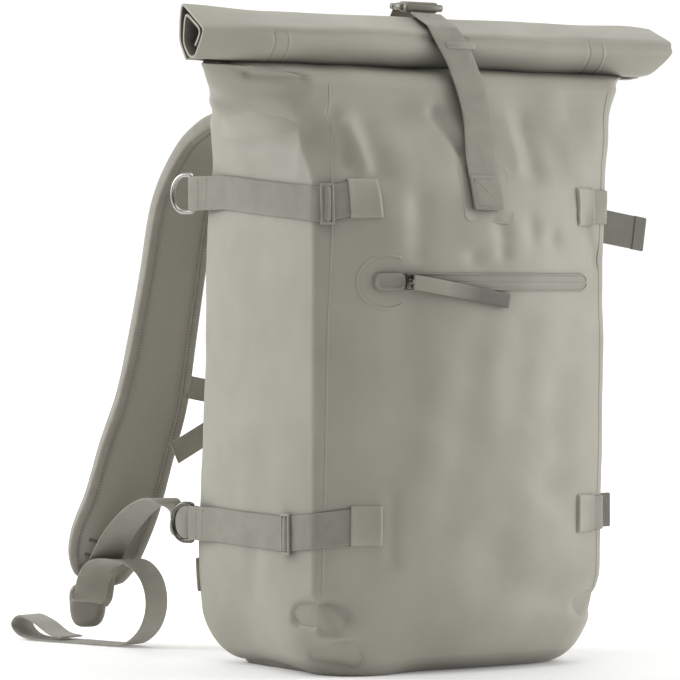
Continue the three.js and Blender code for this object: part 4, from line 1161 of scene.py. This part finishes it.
# Closing strap over the roll
strap_across = np.array([1.0, 0.0, 0.0])
strap_start = on_front(TOP_STRAP["x"], TOP_STRAP["end_z"], TOP_STRAP["lift"])
strap_leave = on_front(TOP_STRAP["x"], PATCH["high"], TOP_STRAP["leave_lift"])
roll_front = ROLL["mid_y"] + ROLL_ROWS[TOP_FRONT][0]
roll_rear = ROLL["mid_y"] + ROLL_ROWS[TOP_REAR][0]
front_corner = np.array([
    TOP_STRAP["crease_x"],
    roll_front - ON_ROLL["clear"] - ON_ROLL["corner_off"],
    ROLL["mid_z"] + ROLL_ROWS[TOP_FRONT][1] + ON_ROLL["corner_up"],
])
rear_corner = np.array([
    TOP_STRAP["buckle_x"],
    roll_rear,
    ROLL["mid_z"] + ROLL_ROWS[TOP_REAR][1] + ON_ROLL["clear"] + ON_ROLL["rear_up"],
])
below_corner = np.array([
    TOP_STRAP["roll_x"],
    roll_front - ON_ROLL["clear"] - ON_ROLL["below_off"],
    ROLL["mid_z"] - ON_ROLL["below"],
])
over_roll = [front_corner + (rear_corner - front_corner) * share + UP * rise for share, rise in OVER_ROLL]
strap_middle = (strap_start + strap_leave) / 2 - np.array([0, TOP_STRAP["sag"], 0])
on_neck = (below_corner + strap_leave) / 2 + np.array([0, TOP_STRAP["neck_in"], 0])
on_neck[0] = TOP_STRAP["neck_x"]
top_line = [strap_start, strap_middle, strap_leave, on_neck, below_corner, front_corner, *over_roll]
piece("top_strap", ribbon(top_line, strap_across), "webbing", ["top_strap"])

hem_lift = TOP_STRAP["lift"] + WEBBING["thick"]
hem_z = np.linspace(TOP_STRAP["end_z"], TOP_STRAP["hem_top"], TOP_STRAP["hem_rows"])
hem_line = on_front(TOP_STRAP["x"], hem_z, hem_lift)
piece("top_strap_hem", ribbon(hem_line, strap_across), "webbing")

box_x = TOP_STRAP["x"] + np.array([-1, 1]) * (WEBBING["width"] / 2 - BOX_STITCH["in"])
box_z = np.array([TOP_STRAP["end_z"] + BOX_STITCH["in"], TOP_STRAP["hem_top"] - BOX_STITCH["in"]])
box_corners = [(box_x[0], box_z[0]), (box_x[1], box_z[0]), (box_x[1], box_z[1]), (box_x[0], box_z[1])]
box_stitches = []
for first, last in BOX_LINES:
    x, z = np.linspace(box_corners[first], box_corners[last], BOX_STITCH["samples"]).T
    line = on_front(x, z, hem_lift + WEBBING["thick"] / 2)
    box_stitches.append(stitch_row(line, outward(front_place(x, z), z)))
piece("top_strap_stitches", joined(box_stitches), "thread")

patch_middle = (PATCH["low"] + PATCH["high"]) / 2
patch_edge = round_edge(PATCH["width"], PATCH["high"] - PATCH["low"], PATCH["round"])
front_patch = raised_shape(PATCH["x"], patch_middle, patch_edge, PATCH_RINGS)
piece("front_patch", front_patch, "fabric", ["front_patch"])

# Keeper and buckle of the closing strap
strap_rise = unit(front_corner - below_corner)
keeper_y = front_corner[1] - WEBBING["thick"] - KEEPER["thick"] / 2 - KEEPER["clear"]
keeper_at = np.array([TOP_STRAP["roll_x"] + KEEPER["aside"], keeper_y, ROLL["mid_z"] + KEEPER["up"]])
keeper_out = np.cross(strap_across, strap_rise)
bar_at = keeper_at + keeper_out * KEEPER_BAR["out"] + strap_rise * KEEPER_BAR["up"]
keeper = []
for at, part in ((keeper_at, KEEPER), (bar_at, KEEPER_BAR)):
    size = (part["width"], part["height"], KEEPER["thick"])
    keeper.append(block(at, size, part["bevel"], strap_across, strap_rise))
piece("top_keeper", joined(keeper), "light_plastic", ["top_keeper"], sharp=HARD_EDGE)

buckle_slope = unit((rear_corner - front_corner) * np.array([0, 1, 1]))
buckle_slope = unit(buckle_slope * (1 - BUCKLE["flatten"]) + np.array([0, 1, 0]) * BUCKLE["flatten"])
buckle_off = (0, BUCKLE["length"] * BUCKLE["rear_share"], BUCKLE["thick"] * BUCKLE["rise_share"])
buckle_at = rear_corner + np.array(buckle_off)


def release_buckle(at, across, along, size):
    """A fastened side-release buckle; its size is its width across, its length along and its thickness."""
    across, along = unit(np.asarray(across, float)), unit(np.asarray(along, float))
    width, length, thick = size
    other_sides = [(-row[0], *row[1:]) for row in BUCKLE_SIDES]
    parts = []
    for aside, ahead, wide, long, deep, bevel in (*BUCKLE_MIDDLE, *other_sides, *BUCKLE_SIDES):
        middle = at + across * width * aside + along * length * ahead
        block_size = (width * wide, length * long, thick * deep)
        parts.append(block(middle, block_size, thick * bevel, across, along))
    return joined(parts)


buckle_size = (BUCKLE["width"], BUCKLE["length"], BUCKLE["thick"])
top_buckle = release_buckle(buckle_at, strap_across, buckle_slope, buckle_size)
piece("top_buckle", top_buckle, "plastic", ["top_buckle"], sharp=HARD_EDGE)

behind = buckle_at + np.array([0, BUCKLE["length"] / 2 + 2 * LIFT, -2 * LIFT])
back_end = skin(BACK_MIDDLE, BEHIND["end_z"], BEHIND["lift"])
back_line = [
    behind,
    behind + np.array([0, BEHIND["out"], -BEHIND["down"]]),
    (behind + back_end) / 2 + np.array([0, BEHIND["slack"], BEHIND["slack"] / 2]),
    skin(BACK_MIDDLE, BEHIND["meet_z"], BEHIND["meet_lift"]),
    back_end,
]
piece("top_strap_back", ribbon(back_line, strap_across), "webbing", ["top_strap_back"])

# Pocket zip: a film with raised edges, the moulded end that the slider parks in, the slider and its pull.
zip_x = np.concatenate([
    np.linspace(ZIP["from_x"], ZIP["to_x"] - ZIP_END["reach"], ZIP["steps"]),
    np.linspace(ZIP["to_x"] - ZIP_END["from"], ZIP["to_x"], ZIP_END["steps"]),
])
zip_left = np.clip((ZIP["to_x"] - zip_x) / ZIP_END["reach"], 0, 1)
zip_share = ZIP_END["narrow"] + (1 - ZIP_END["narrow"]) * np.sqrt(1 - (1 - zip_left) ** 2)
zip_z = ZIP["z"] + ZIP["height"] / 2 * zip_share[:, None] * ZIP_PROFILE[:, 0]
zip_lift = np.broadcast_to(ZIP_PROFILE[:, 1], zip_z.shape)
zip_form = loft(on_front(zip_x[:, None] + 0 * zip_z, zip_z, zip_lift))
piece("zip_tape", zip_form, "zip", ["zip_tape"])

garage_x = (GARAGE["from_x"] + GARAGE["to_x"]) / 2
garage_width = GARAGE["to_x"] - GARAGE["from_x"] + GARAGE["over"]
garage_edge = round_edge(garage_width, GARAGE["height"], GARAGE["round"], GARAGE["round_steps"])
garage = raised_shape(garage_x, ZIP["z"], garage_edge, GARAGE_RINGS)
piece("zip_garage", garage, "zip", ["zip_garage"])

slider_place = front_place(ZIP_SLIDER["x"], ZIP["z"])
slider_along = unit(along_outline(slider_place, ZIP["z"]))
slider_out = outward(slider_place, ZIP["z"])
slider_at = skin(slider_place, ZIP["z"], 2 * LIFT + ZIP["thick"] + ZIP_SLIDER["thick"] / 2)
zip_slider = []
for ahead, out, width, height, thick, bevel in ZIP_SLIDER_BLOCKS:
    middle = slider_at + slider_along * ahead + slider_out * out
    zip_slider.append(block(middle, (width, height, thick), bevel, slider_along, UP))
piece("zip_slider", joined(zip_slider), "dark_steel_and_painted_shade", ["zip_slider"], sharp=HARD_EDGE)

pull_x = np.linspace(ZIP_PULL["from_x"], ZIP_PULL["to_x"], ZIP_PULL["rows"])
pull_z = ZIP["z"] - np.linspace(0, ZIP_PULL["drop"], ZIP_PULL["rows"])
pull_lift = np.linspace(ZIP_PULL["start_lift"], ZIP_PULL["end_lift"], ZIP_PULL["rows"])
pull_line = skin(front_place(pull_x, ZIP["z"]), pull_z, pull_lift)
piece("zip_pull", ribbon(pull_line, UP, ZIP_PULL, ZIP_PULL["step"]), "pull", ["zip_pull"])

weld_turns = np.radians(np.linspace(ZIP_WELD["from"], ZIP_WELD["to"], ZIP_WELD["steps"]))
weld_x = garage_x + ZIP_WELD["aside"] + ZIP_WELD["side"] * np.cos(weld_turns)
weld_z = ZIP["z"] + ZIP_WELD["up"] * np.sin(weld_turns)
zip_weld = bead(front_place(weld_x, weld_z), weld_z, ZIP_WELD["width"], ZIP_WELD["height"])
piece("zip_weld", zip_weld, "fabric")


# Side straps
def side_band(start, stop, start_z, stop_z):
    places = arc_places(start, stop, start_z, BAND_STEP)
    return band_rings(places, np.linspace(start_z, stop_z, len(places)), WEBBING, LIFT)


def loop_rings(hand, z):
    """The webbing's end: over the ring's straight bar from outside and back underneath."""
    radius = (RING["wire"] + WEBBING["thick"]) / 2 + RING_LOOP["clear"]
    angles = np.radians(np.linspace(90, -90, RING_LOOP["steps"]))
    tuck = np.linspace(RING_LOOP["start"], RING_LOOP["tuck"], RING_LOOP["tuck_steps"])
    outs = RING["x"] + np.concatenate([[radius], radius * np.sin(angles), np.full(len(tuck), -radius)])
    backs = RING["bar_y"] + np.concatenate([[-RING_LOOP["lead"]], radius * np.cos(angles), -tuck])
    middle = np.column_stack([hand * outs, backs, np.full_like(outs, z)])
    along = unit(np.gradient(middle, axis=0))
    face = hand * np.cross(along, UP)
    offset = UP * WEB_PROFILE[None, :, :1] * WEBBING["width"] / 2
    return middle[:, None] + offset + face[:, None] * WEB_PROFILE[None, :, 1:] * WEBBING["thick"] / 2


def ring_form(hand, z):
    """A wire ring with a straight bar in front and a round bow behind."""
    half = (RING["height"] - RING["wire"]) / 2
    short = RING["reach"] * RING["short"]
    pulls = np.array([(short, half), (RING["reach"], half), (RING["reach"], -half), (short, -half)])
    bow = []
    for t in np.linspace(0, 1, RING_STEPS["bow"]):
        bow.append(np.array([(1 - t) ** 3, 3 * t * (1 - t) ** 2, 3 * t**2 * (1 - t), t**3]) @ pulls)
    corner = RING["corner"]
    cut = RING["cut"] * corner
    top = [(0, half - corner), (cut, half - cut), (corner, half)]
    low = [(reach, -height) for reach, height in top[::-1]]
    bar = [(0, height) for height in np.linspace(2 * corner - half, half - 2 * corner, RING_STEPS["bar"])]
    line = np.array([*bar, *top, *bow, *low])
    turned = math.radians(RING["turn"])
    outs = hand * (RING["x"] + line[:, 0] * math.sin(turned))
    middle = np.column_stack([outs, RING["bar_y"] + line[:, 0] * math.cos(turned), z + line[:, 1]])
    along = unit(np.roll(middle, -1, axis=0) - np.roll(middle, 1, axis=0))
    side = np.array([math.cos(turned), -hand * math.sin(turned), 0.0])
    rise = np.cross(along, side)
    angles = np.linspace(0, 2 * math.pi, RING_STEPS["round"], endpoint=False)
    rings = [middle + (side * math.cos(a) + rise * math.sin(a)) * RING["wire"] / 2 for a in angles]
    return loft(np.stack(rings, axis=1), looped=True)


def slider_form(at, along, up):
    """A flat slider: a frame with a bar across its middle."""
    along, up = unit(along), unit(up)
    keys = ("width", "height", "thick", "bar", "bevel")
    width, height, thick, bar, bevel = (TRIGLIDE[key] for key in keys)
    parts = []
    for side in (-1, 0, 1):
        parts.append(block(at + along * side * (width - bar) / 2, (bar, height, thick), bevel, along, up))
    for side in (-1, 1):
        parts.append(block(at + up * side * (height - bar) / 2, (width, bar, thick), bevel, along, up))
    return joined(parts)


def patch_form(hand, z):
    """A welded pocket that swallows the webbing's end: a lip at its open end and a ridge at the other."""
    outer, inner = PATCH_X[hand]
    shares, lifts = SIDE_PATCH_RUN[:, :1], SIDE_PATCH_RUN[:, 1:]
    levels, rises = SIDE_PATCH_SECTION.T
    heights = z + levels * SIDE_PATCH["height"] / 2 + 0 * shares
    lift = np.where(rises < 0, SIDE_PATCH["sunk"], lifts * rises)
    return loft(on_front(outer + (inner - outer) * shares + 0 * heights, heights, lift))


for row in SIDE_STRAPS:
    strap = dict(zip(STRAP_COLUMNS, row))
    name, hand, place, z = (strap[key] for key in ("name", "hand", "slider", "slider_z"))
    front_z, back_z = strap["front_z"], strap["back_z"]
    piece("side_patch_" + name, patch_form(hand, front_z), "fabric", ["side_patch_" + name])
    patch_place = front_place(PATCH_X[hand][0] - hand * SIDE_PATCH["reach_in"], front_z)
    if hand < 0:
        patch_place = patch_place + ALL_ROUND
    stub_end = walk(place, z, hand * TRIGLIDE["width"] / 4)
    stub = web_form(side_band(patch_place, stub_end, front_z, z), WEBBING["width"])
    piece("side_stub_" + name, stub, "webbing", ["side_stub_" + name])

    frame_at = skin(place, z, LIFT + WEBBING["thick"] + TRIGLIDE["clear"] + TRIGLIDE["thick"] / 2)
    frame_up = skin(place, z + TRIGLIDE["half_up"]) - skin(place, z - TRIGLIDE["half_up"])
    slider = slider_form(frame_at, along_outline(place, z), frame_up)
    piece("side_slider_" + name, slider, "slider", ["side_slider_" + name], sharp=HARD_EDGE)
    over_ends = [walk(place, z, side * OVER_BAR["half"]) for side in (-1, 1)]
    over_places = arc_places(*over_ends, z, OVER_BAR["step"])
    over_crown = np.sin(np.linspace(0, math.pi, len(over_places))) ** OVER_BAR["crown"]
    over_lift = LIFT + WEBBING["thick"] * OVER_BAR["sunk"] + OVER_BAR["rise"] * over_crown
    over_width, over_thick = WEBBING["width"] - OVER_BAR["narrow"], WEBBING["thick"] * OVER_BAR["thin"]
    over_size = {"width": over_width, "thick": over_thick}
    over_rings = band_rings(over_places, np.full(len(over_places), z), over_size, over_lift[:, None])
    piece("slider_web_" + name, web_form(over_rings, over_width), "webbing")

    main_from = walk(place, z, hand * (TRIGLIDE["width"] / 4 + 2 * LIFT))
    leave = RING["leave"] if hand < 0 else MIRROR_SUM - RING["leave"]
    flat = side_band(main_from, leave, z, back_z)
    loop = loop_rings(hand, back_z)
    main = web_form(np.concatenate([flat, loop]), WEBBING["width"])
    piece("side_strap_" + name, main, "webbing", ["side_strap_" + name])
    between = flat[-1] + (loop[0] - flat[-1]) * np.array(RING_STITCHES)[:, None, None]
    tacks = [stitch_row(ring[OUTER_FACE], (hand, 0, 0)) for ring in between]
    piece("strap_stitches_" + name, joined(tacks), "thread")
    # The upper rings take the lit copy of the steel and the lower rings the darker copy: painted light and
    # painted shade.
    ring_look = "steel" if name.startswith("upper") else "dark_steel_and_painted_shade"
    piece("side_ring_" + name, ring_form(hand, back_z), ring_look, ["side_ring_" + name])

    if strap["tail"] > 0:
        shares = np.array(SIDE_TAIL["shares"])
        runs = strap["tail"] * shares
        drops = -strap["tail_low"] - strap["droop"] * runs
        tail_from = frame_at + np.array([hand * (TRIGLIDE["thick"] + strap["tail_off"]), 0, 0])
        tail_line = tail_from + np.column_stack([runs, SIDE_TAIL["back"] * shares, drops])
        # The loose end takes the darker copy of the webbing: painted shade.
        piece("side_tail_" + name, ribbon(tail_line, UP), "tail", ["side_tail_" + name])
        hem_length = round(min(SIDE_TAIL["hem"], strap["tail"] / 2))
        hem_part = even_run(tail_line, step=1.0)[-hem_length:]
        hem_size = {"width": SIDE_TAIL["hem_width"], "thick": SIDE_TAIL["hem_thick"]}
        tail_hem = web_form(ribbon_rings(hem_part, UP, hem_size), WEBBING["width"])
        piece("tail_hem_" + name, tail_hem, "tail")


# Shoulder pads
def squared(way, power):
    """A sine or cosine pushed out towards the side of a square."""
    return np.sign(way) * np.abs(way) ** power


def pad_stations():
    """Middle, directions and half sizes down the left pad."""
    run = even_run(PAD_ROWS, PAD["step"])
    middle = run[:, :3]
    along = unit(np.gradient(middle, axis=0))
    across = level(-run[:, 5])
    across = unit(across - np.sum(across * along, axis=-1, keepdims=True) * along)
    to_end = np.linalg.norm(middle - middle[-1], axis=-1)
    tip = np.sqrt(1 - np.clip(1 - to_end / PAD["tip"], 0, 1) ** 2)
    half_width = run[:, 3] / 2 * (PAD["tip_width"] + (1 - PAD["tip_width"]) * tip)
    return middle, across, np.cross(along, across), half_width, run[:, 4] / 2


pad_middle, pad_across, pad_face, pad_half_width, pad_half_thick = pad_stations()
pad_run = run_along(pad_middle)


def pad_station(z):
    """The station at a height on the hanging part of the pad."""
    hanging = np.flatnonzero(pad_middle[:, 1] >= PAD["hang_y"])
    return hanging[np.argmin(np.abs(pad_middle[hanging, 2] - z))]


def pad_point(station, side, fill):
    """A point of the pad's section: side and fill are shares of its half width and half thickness."""
    offset = pad_across[station] * (side * pad_half_width[station])[..., None]
    return pad_middle[station] + offset + pad_face[station] * (fill * pad_half_thick[station])[..., None]


def pad_form():
    turns = np.linspace(0, 2 * math.pi, PAD["around"], endpoint=False)
    side = squared(np.cos(turns), PAD["square"]) * PAD["under"]
    fill = squared(np.sin(turns), PAD["square"]) * PAD["under"]
    stations = np.arange(len(pad_middle))[:, None] + np.zeros(len(turns), int)
    return loft(pad_point(stations, side, fill), pad_run)


def binding_form(hand):
    """Tape folded over one edge of the pad, from its top to its lower end."""
    reach = 1 - BINDING["reach"] / pad_half_width
    edge = 1 + BINDING["proud"] / pad_half_width
    deep = 1 + BINDING["deep"] * BINDING["proud"] / pad_half_thick
    fold = []
    for angle in np.radians(np.linspace(90, -90, BINDING["steps"])):
        out = BINDING["edge"] + (1 - BINDING["edge"]) * abs(math.cos(angle)) ** BINDING["square"]
        fold.append((reach + (edge - reach) * out, squared(math.sin(angle), BINDING["square"]) * deep))
    front_hem = [(reach, share * deep * BINDING["sink"]) for share in (BINDING["hem"], 1.0)]
    back_hem = [(side, -fill) for side, fill in front_hem[::-1]]
    stations = np.arange(len(pad_middle))
    rings = [pad_point(stations, hand * side, fill) for side, fill in front_hem + fold + back_hem]
    return loft(np.stack(rings, axis=1), pad_run)


def pad_stitches(face):
    """Stitches down both edges of the pad, on its front (1) or its back (-1)."""
    stations = np.arange(PAD_STITCH["ends"], len(pad_middle) - PAD_STITCH["ends"])
    fill = face * (1 + PAD_STITCH["proud"] * BINDING["proud"] / pad_half_thick[stations])
    forms = []
    for hand in (-1, 1):
        side = hand * (1 - PAD_STITCH["in"] / pad_half_width[stations])
        line = pad_point(stations, side, fill)
        forms.append(stitch_row(line, pad_face[stations] * face, PAD_STITCH["radius"]))
    return joined(forms)


def tack_forms():
    forms = []
    for side, z in BAR_TACKS:
        station = pad_station(z)
        across, face = pad_across[station], pad_face[station]
        at = pad_middle[station] + across * side + face * (pad_half_thick[station] + TACK["lift"])
        forms.append(block(at, TACK["size"], TACK["bevel"], across, np.cross(across, face)))
    return joined(forms)


def both_sides(name, form, look, node=None, sharp=None):
    """The left piece and its mirror image."""
    made = []
    for side, shape in (("left", form), ("right", mirrored(form))):
        nodes = [node + "_" + side] if node else ()
        made.append(piece(name + "_" + side, shape, look, nodes, sharp))
    return made


for pad in both_sides("shoulder_pad", pad_form(), "mesh", "shoulder_pad"):
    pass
for edge_name, hand in (("outer", -1), ("inner", 1)):
    both_sides("pad_binding_" + edge_name, binding_form(hand), "binding")
for face_name, face in (("front", 1), ("back", -1)):
    both_sides("pad_stitches_" + face_name, pad_stitches(face), "thread")
both_sides("pad_tacks", tack_forms(), "thread")

# Adjusters and the webbing round them
lock_across = level(np.array(-LADDER["turn"]))
lock_tip = math.radians(LADDER["tip"])
lock_up = np.array([0, -math.sin(lock_tip), math.cos(lock_tip)])
lock_up = unit(lock_up - lock_across * (lock_up @ lock_across))
lock_out = np.cross(lock_across, lock_up)
lock_middle = np.array([LADDER["x"], LADDER["y"], LADDER["z"]]) + lock_across * LOCK["aside"]
lock_turns = np.linspace(0, 2 * math.pi, LOCK["around"], endpoint=False)
lock_y = squared(np.sin(lock_turns), LOCK["square"])
lock_x = squared(np.cos(lock_turns), LOCK["square"]) * (1 - LOCK["narrow"] * (1 - lock_y) / 2)
lock_rings = []
for inset, out in LOCK_LAYERS:
    side = lock_x * (LADDER["width"] / 2 - inset)
    rise = lock_y * (LADDER["length"] / 2 - inset)
    lock_rings.append(lock_middle + side[:, None] * lock_across + rise[:, None] * lock_up + out * lock_out)
both_sides("ladder_lock", loft(lock_rings), "plastic", "ladder_lock", sharp=HARD_EDGE)


def lower_across(run):
    """Direction across the lower strap: level at the adjuster, upright at the ring."""
    flat = np.clip(run[:, 3], 0, 1)[:, None]
    return lock_across * flat + UP * (flat - 1)


both_sides("lower_strap", ribbon(LOWER_STRAP_ROWS, lower_across), "webbing", "lower_strap")
tail_out = level(np.array(TAIL["turn"] - 90))
tail_base = np.array([TAIL["x"], TAIL["y"], TAIL["floor_z"]])
tail_rows = []
for out, up, turned, aside in TAIL_ROWS:
    tail_rows.append((*(tail_base + tail_out * out + UP * up + lock_across * aside), turned))
strap_tail = ribbon(tail_rows, lambda run: level(run[:, 3]), step=2.0)
# The end looped round the adjuster takes the lighter copy of the webbing: painted light.
both_sides("strap_tail", strap_tail, "loop", "strap_tail")

# Chest strap
chest_station = pad_station(CHEST["z"])
chest_lift = pad_half_thick[chest_station] * CHEST["thin"] + CHEST_WEBBING["thick"] / 2 + LIFT
chest_from = (
    pad_middle[chest_station]
    + pad_across[chest_station] * pad_half_width[chest_station] * CHEST["side"]
    + pad_face[chest_station] * chest_lift
)
chest_x = CHEST["reach_in"] - CHEST_BUCKLE["width"] / 2
chest_to = np.array([chest_x, CHEST_BUCKLE["y"], CHEST_BUCKLE["z"] + CHEST["sag"]])
chest_line = [chest_from, (chest_from + chest_to) / 2 - UP * CHEST["sag"], chest_to]
both_sides("sternum", ribbon(chest_line, UP, CHEST_WEBBING), "webbing", "sternum")
chest_at = np.array([0, CHEST_BUCKLE["y"], CHEST_BUCKLE["z"]])
chest_size = (CHEST_BUCKLE["height"], CHEST_BUCKLE["width"], CHEST_BUCKLE["thick"])
chest_buckle = release_buckle(chest_at, UP, (1, 0, 0), chest_size)
piece("sternum_buckle", chest_buckle, "plastic", ["sternum_buckle"], sharp=HARD_EDGE)
chest_tail = ribbon(CHEST_TAIL_ROWS, UP, CHEST_WEBBING)
piece("sternum_tail", chest_tail, "webbing", ["sternum_tail"])

# Tabs low on the back corners
tab_size = {"width": TAB["high"] - TAB["low"], "thick": TAB["thick"]}
tab_heights = np.full(TAB["steps"], (TAB["low"] + TAB["high"]) / 2)
for side, ends in CORNER_TABS.items():
    tab_rings = band_rings(np.linspace(*ends, TAB["steps"]), tab_heights, tab_size, TAB["sunk"])
    tab = web_form(tab_rings, tab_size["width"])
    piece("corner_tab_" + side, tab, "webbing", ["corner_tab_" + side])

# Floor
floor_corners = [(x * FLOOR["half"], y * FLOOR["half"], 0) for x, y in ((-1, -1), (1, -1), (1, 1), (-1, 1))]
floor_mesh = bpy.data.meshes.new("floor")
floor_mesh.from_pydata(floor_corners, [], [(0, 1, 2, 3)])
floor_look = Look("pale_floor", COLOURS["floor"], roughness=0.6)
floor_look.tint(floor_look.spread(floor_look.cloud(size=400), 0, 1), darkest=0.99, lightest=1.0)
distance = floor_look.node("ShaderNodeVectorMath", operation="DOT_PRODUCT")
distance.inputs[1].default_value = view_ahead
floor_look.put(floor_look.source.outputs["Object"], distance.inputs[0])
glow = floor_look.spread(
    distance.outputs["Value"], FLOOR["near_glow"], FLOOR["far_glow"], FLOOR["near"], FLOOR["far"]
)
floor_look.put(glow, floor_look.shader.inputs["Emission Strength"])
floor_look.put((1, 1, 1, 1), floor_look.shader.inputs["Emission Color"])
floor_mesh.materials.append(floor_look.material)
floor = bpy.data.objects.new("floor", floor_mesh)
bpy.context.scene.collection.objects.link(floor)

# Lights
for row in LIGHTS:
    light = dict(zip(LIGHT_COLUMNS, row))
    data = bpy.data.lights.new(light["name"], "AREA")
    data.shape = "RECTANGLE"
    data.size = light["wide"]
    data.size_y = light["tall"]
    data.energy = light["watts"]
    lamp = bpy.data.objects.new(light["name"], data)
    bearing = math.atan2(-view_ahead.y, -view_ahead.x) - math.radians(light["turn"])
    lamp.location = Vector((math.cos(bearing), math.sin(bearing), 0)) * light["distance"]
    lamp.location.z = light["z"]
    lamp.rotation_euler = (Vector((0, 0, LIGHT_AIM_Z)) - lamp.location).to_track_quat("-Z", "Y").to_euler()
    bpy.context.scene.collection.objects.link(lamp)

# Surroundings
world = bpy.data.worlds.new("studio")
world.use_nodes = True
sky = world.node_tree
direction = sky.nodes.new("ShaderNodeTexCoord")
facing = sky.nodes.new("ShaderNodeVectorMath")
facing.operation = "DOT_PRODUCT"
facing.inputs[1].default_value = view_ahead
strength = sky.nodes.new("ShaderNodeMapRange")
limits = {"From Min": "from", "From Max": "to", "To Min": "camera_side", "To Max": "behind"}
for socket, key in limits.items():
    strength.inputs[socket].default_value = WORLD[key]
sky.links.new(direction.outputs["Generated"], facing.inputs[0])
sky.links.new(facing.outputs["Value"], strength.inputs["Value"])
sky.nodes["Background"].inputs["Color"].default_value = (*WORLD["colour"], 1)
sky.links.new(strength.outputs[0], sky.nodes["Background"].inputs["Strength"])
bpy.context.scene.world = world
bpy.context.scene.view_settings.view_transform = "Standard"
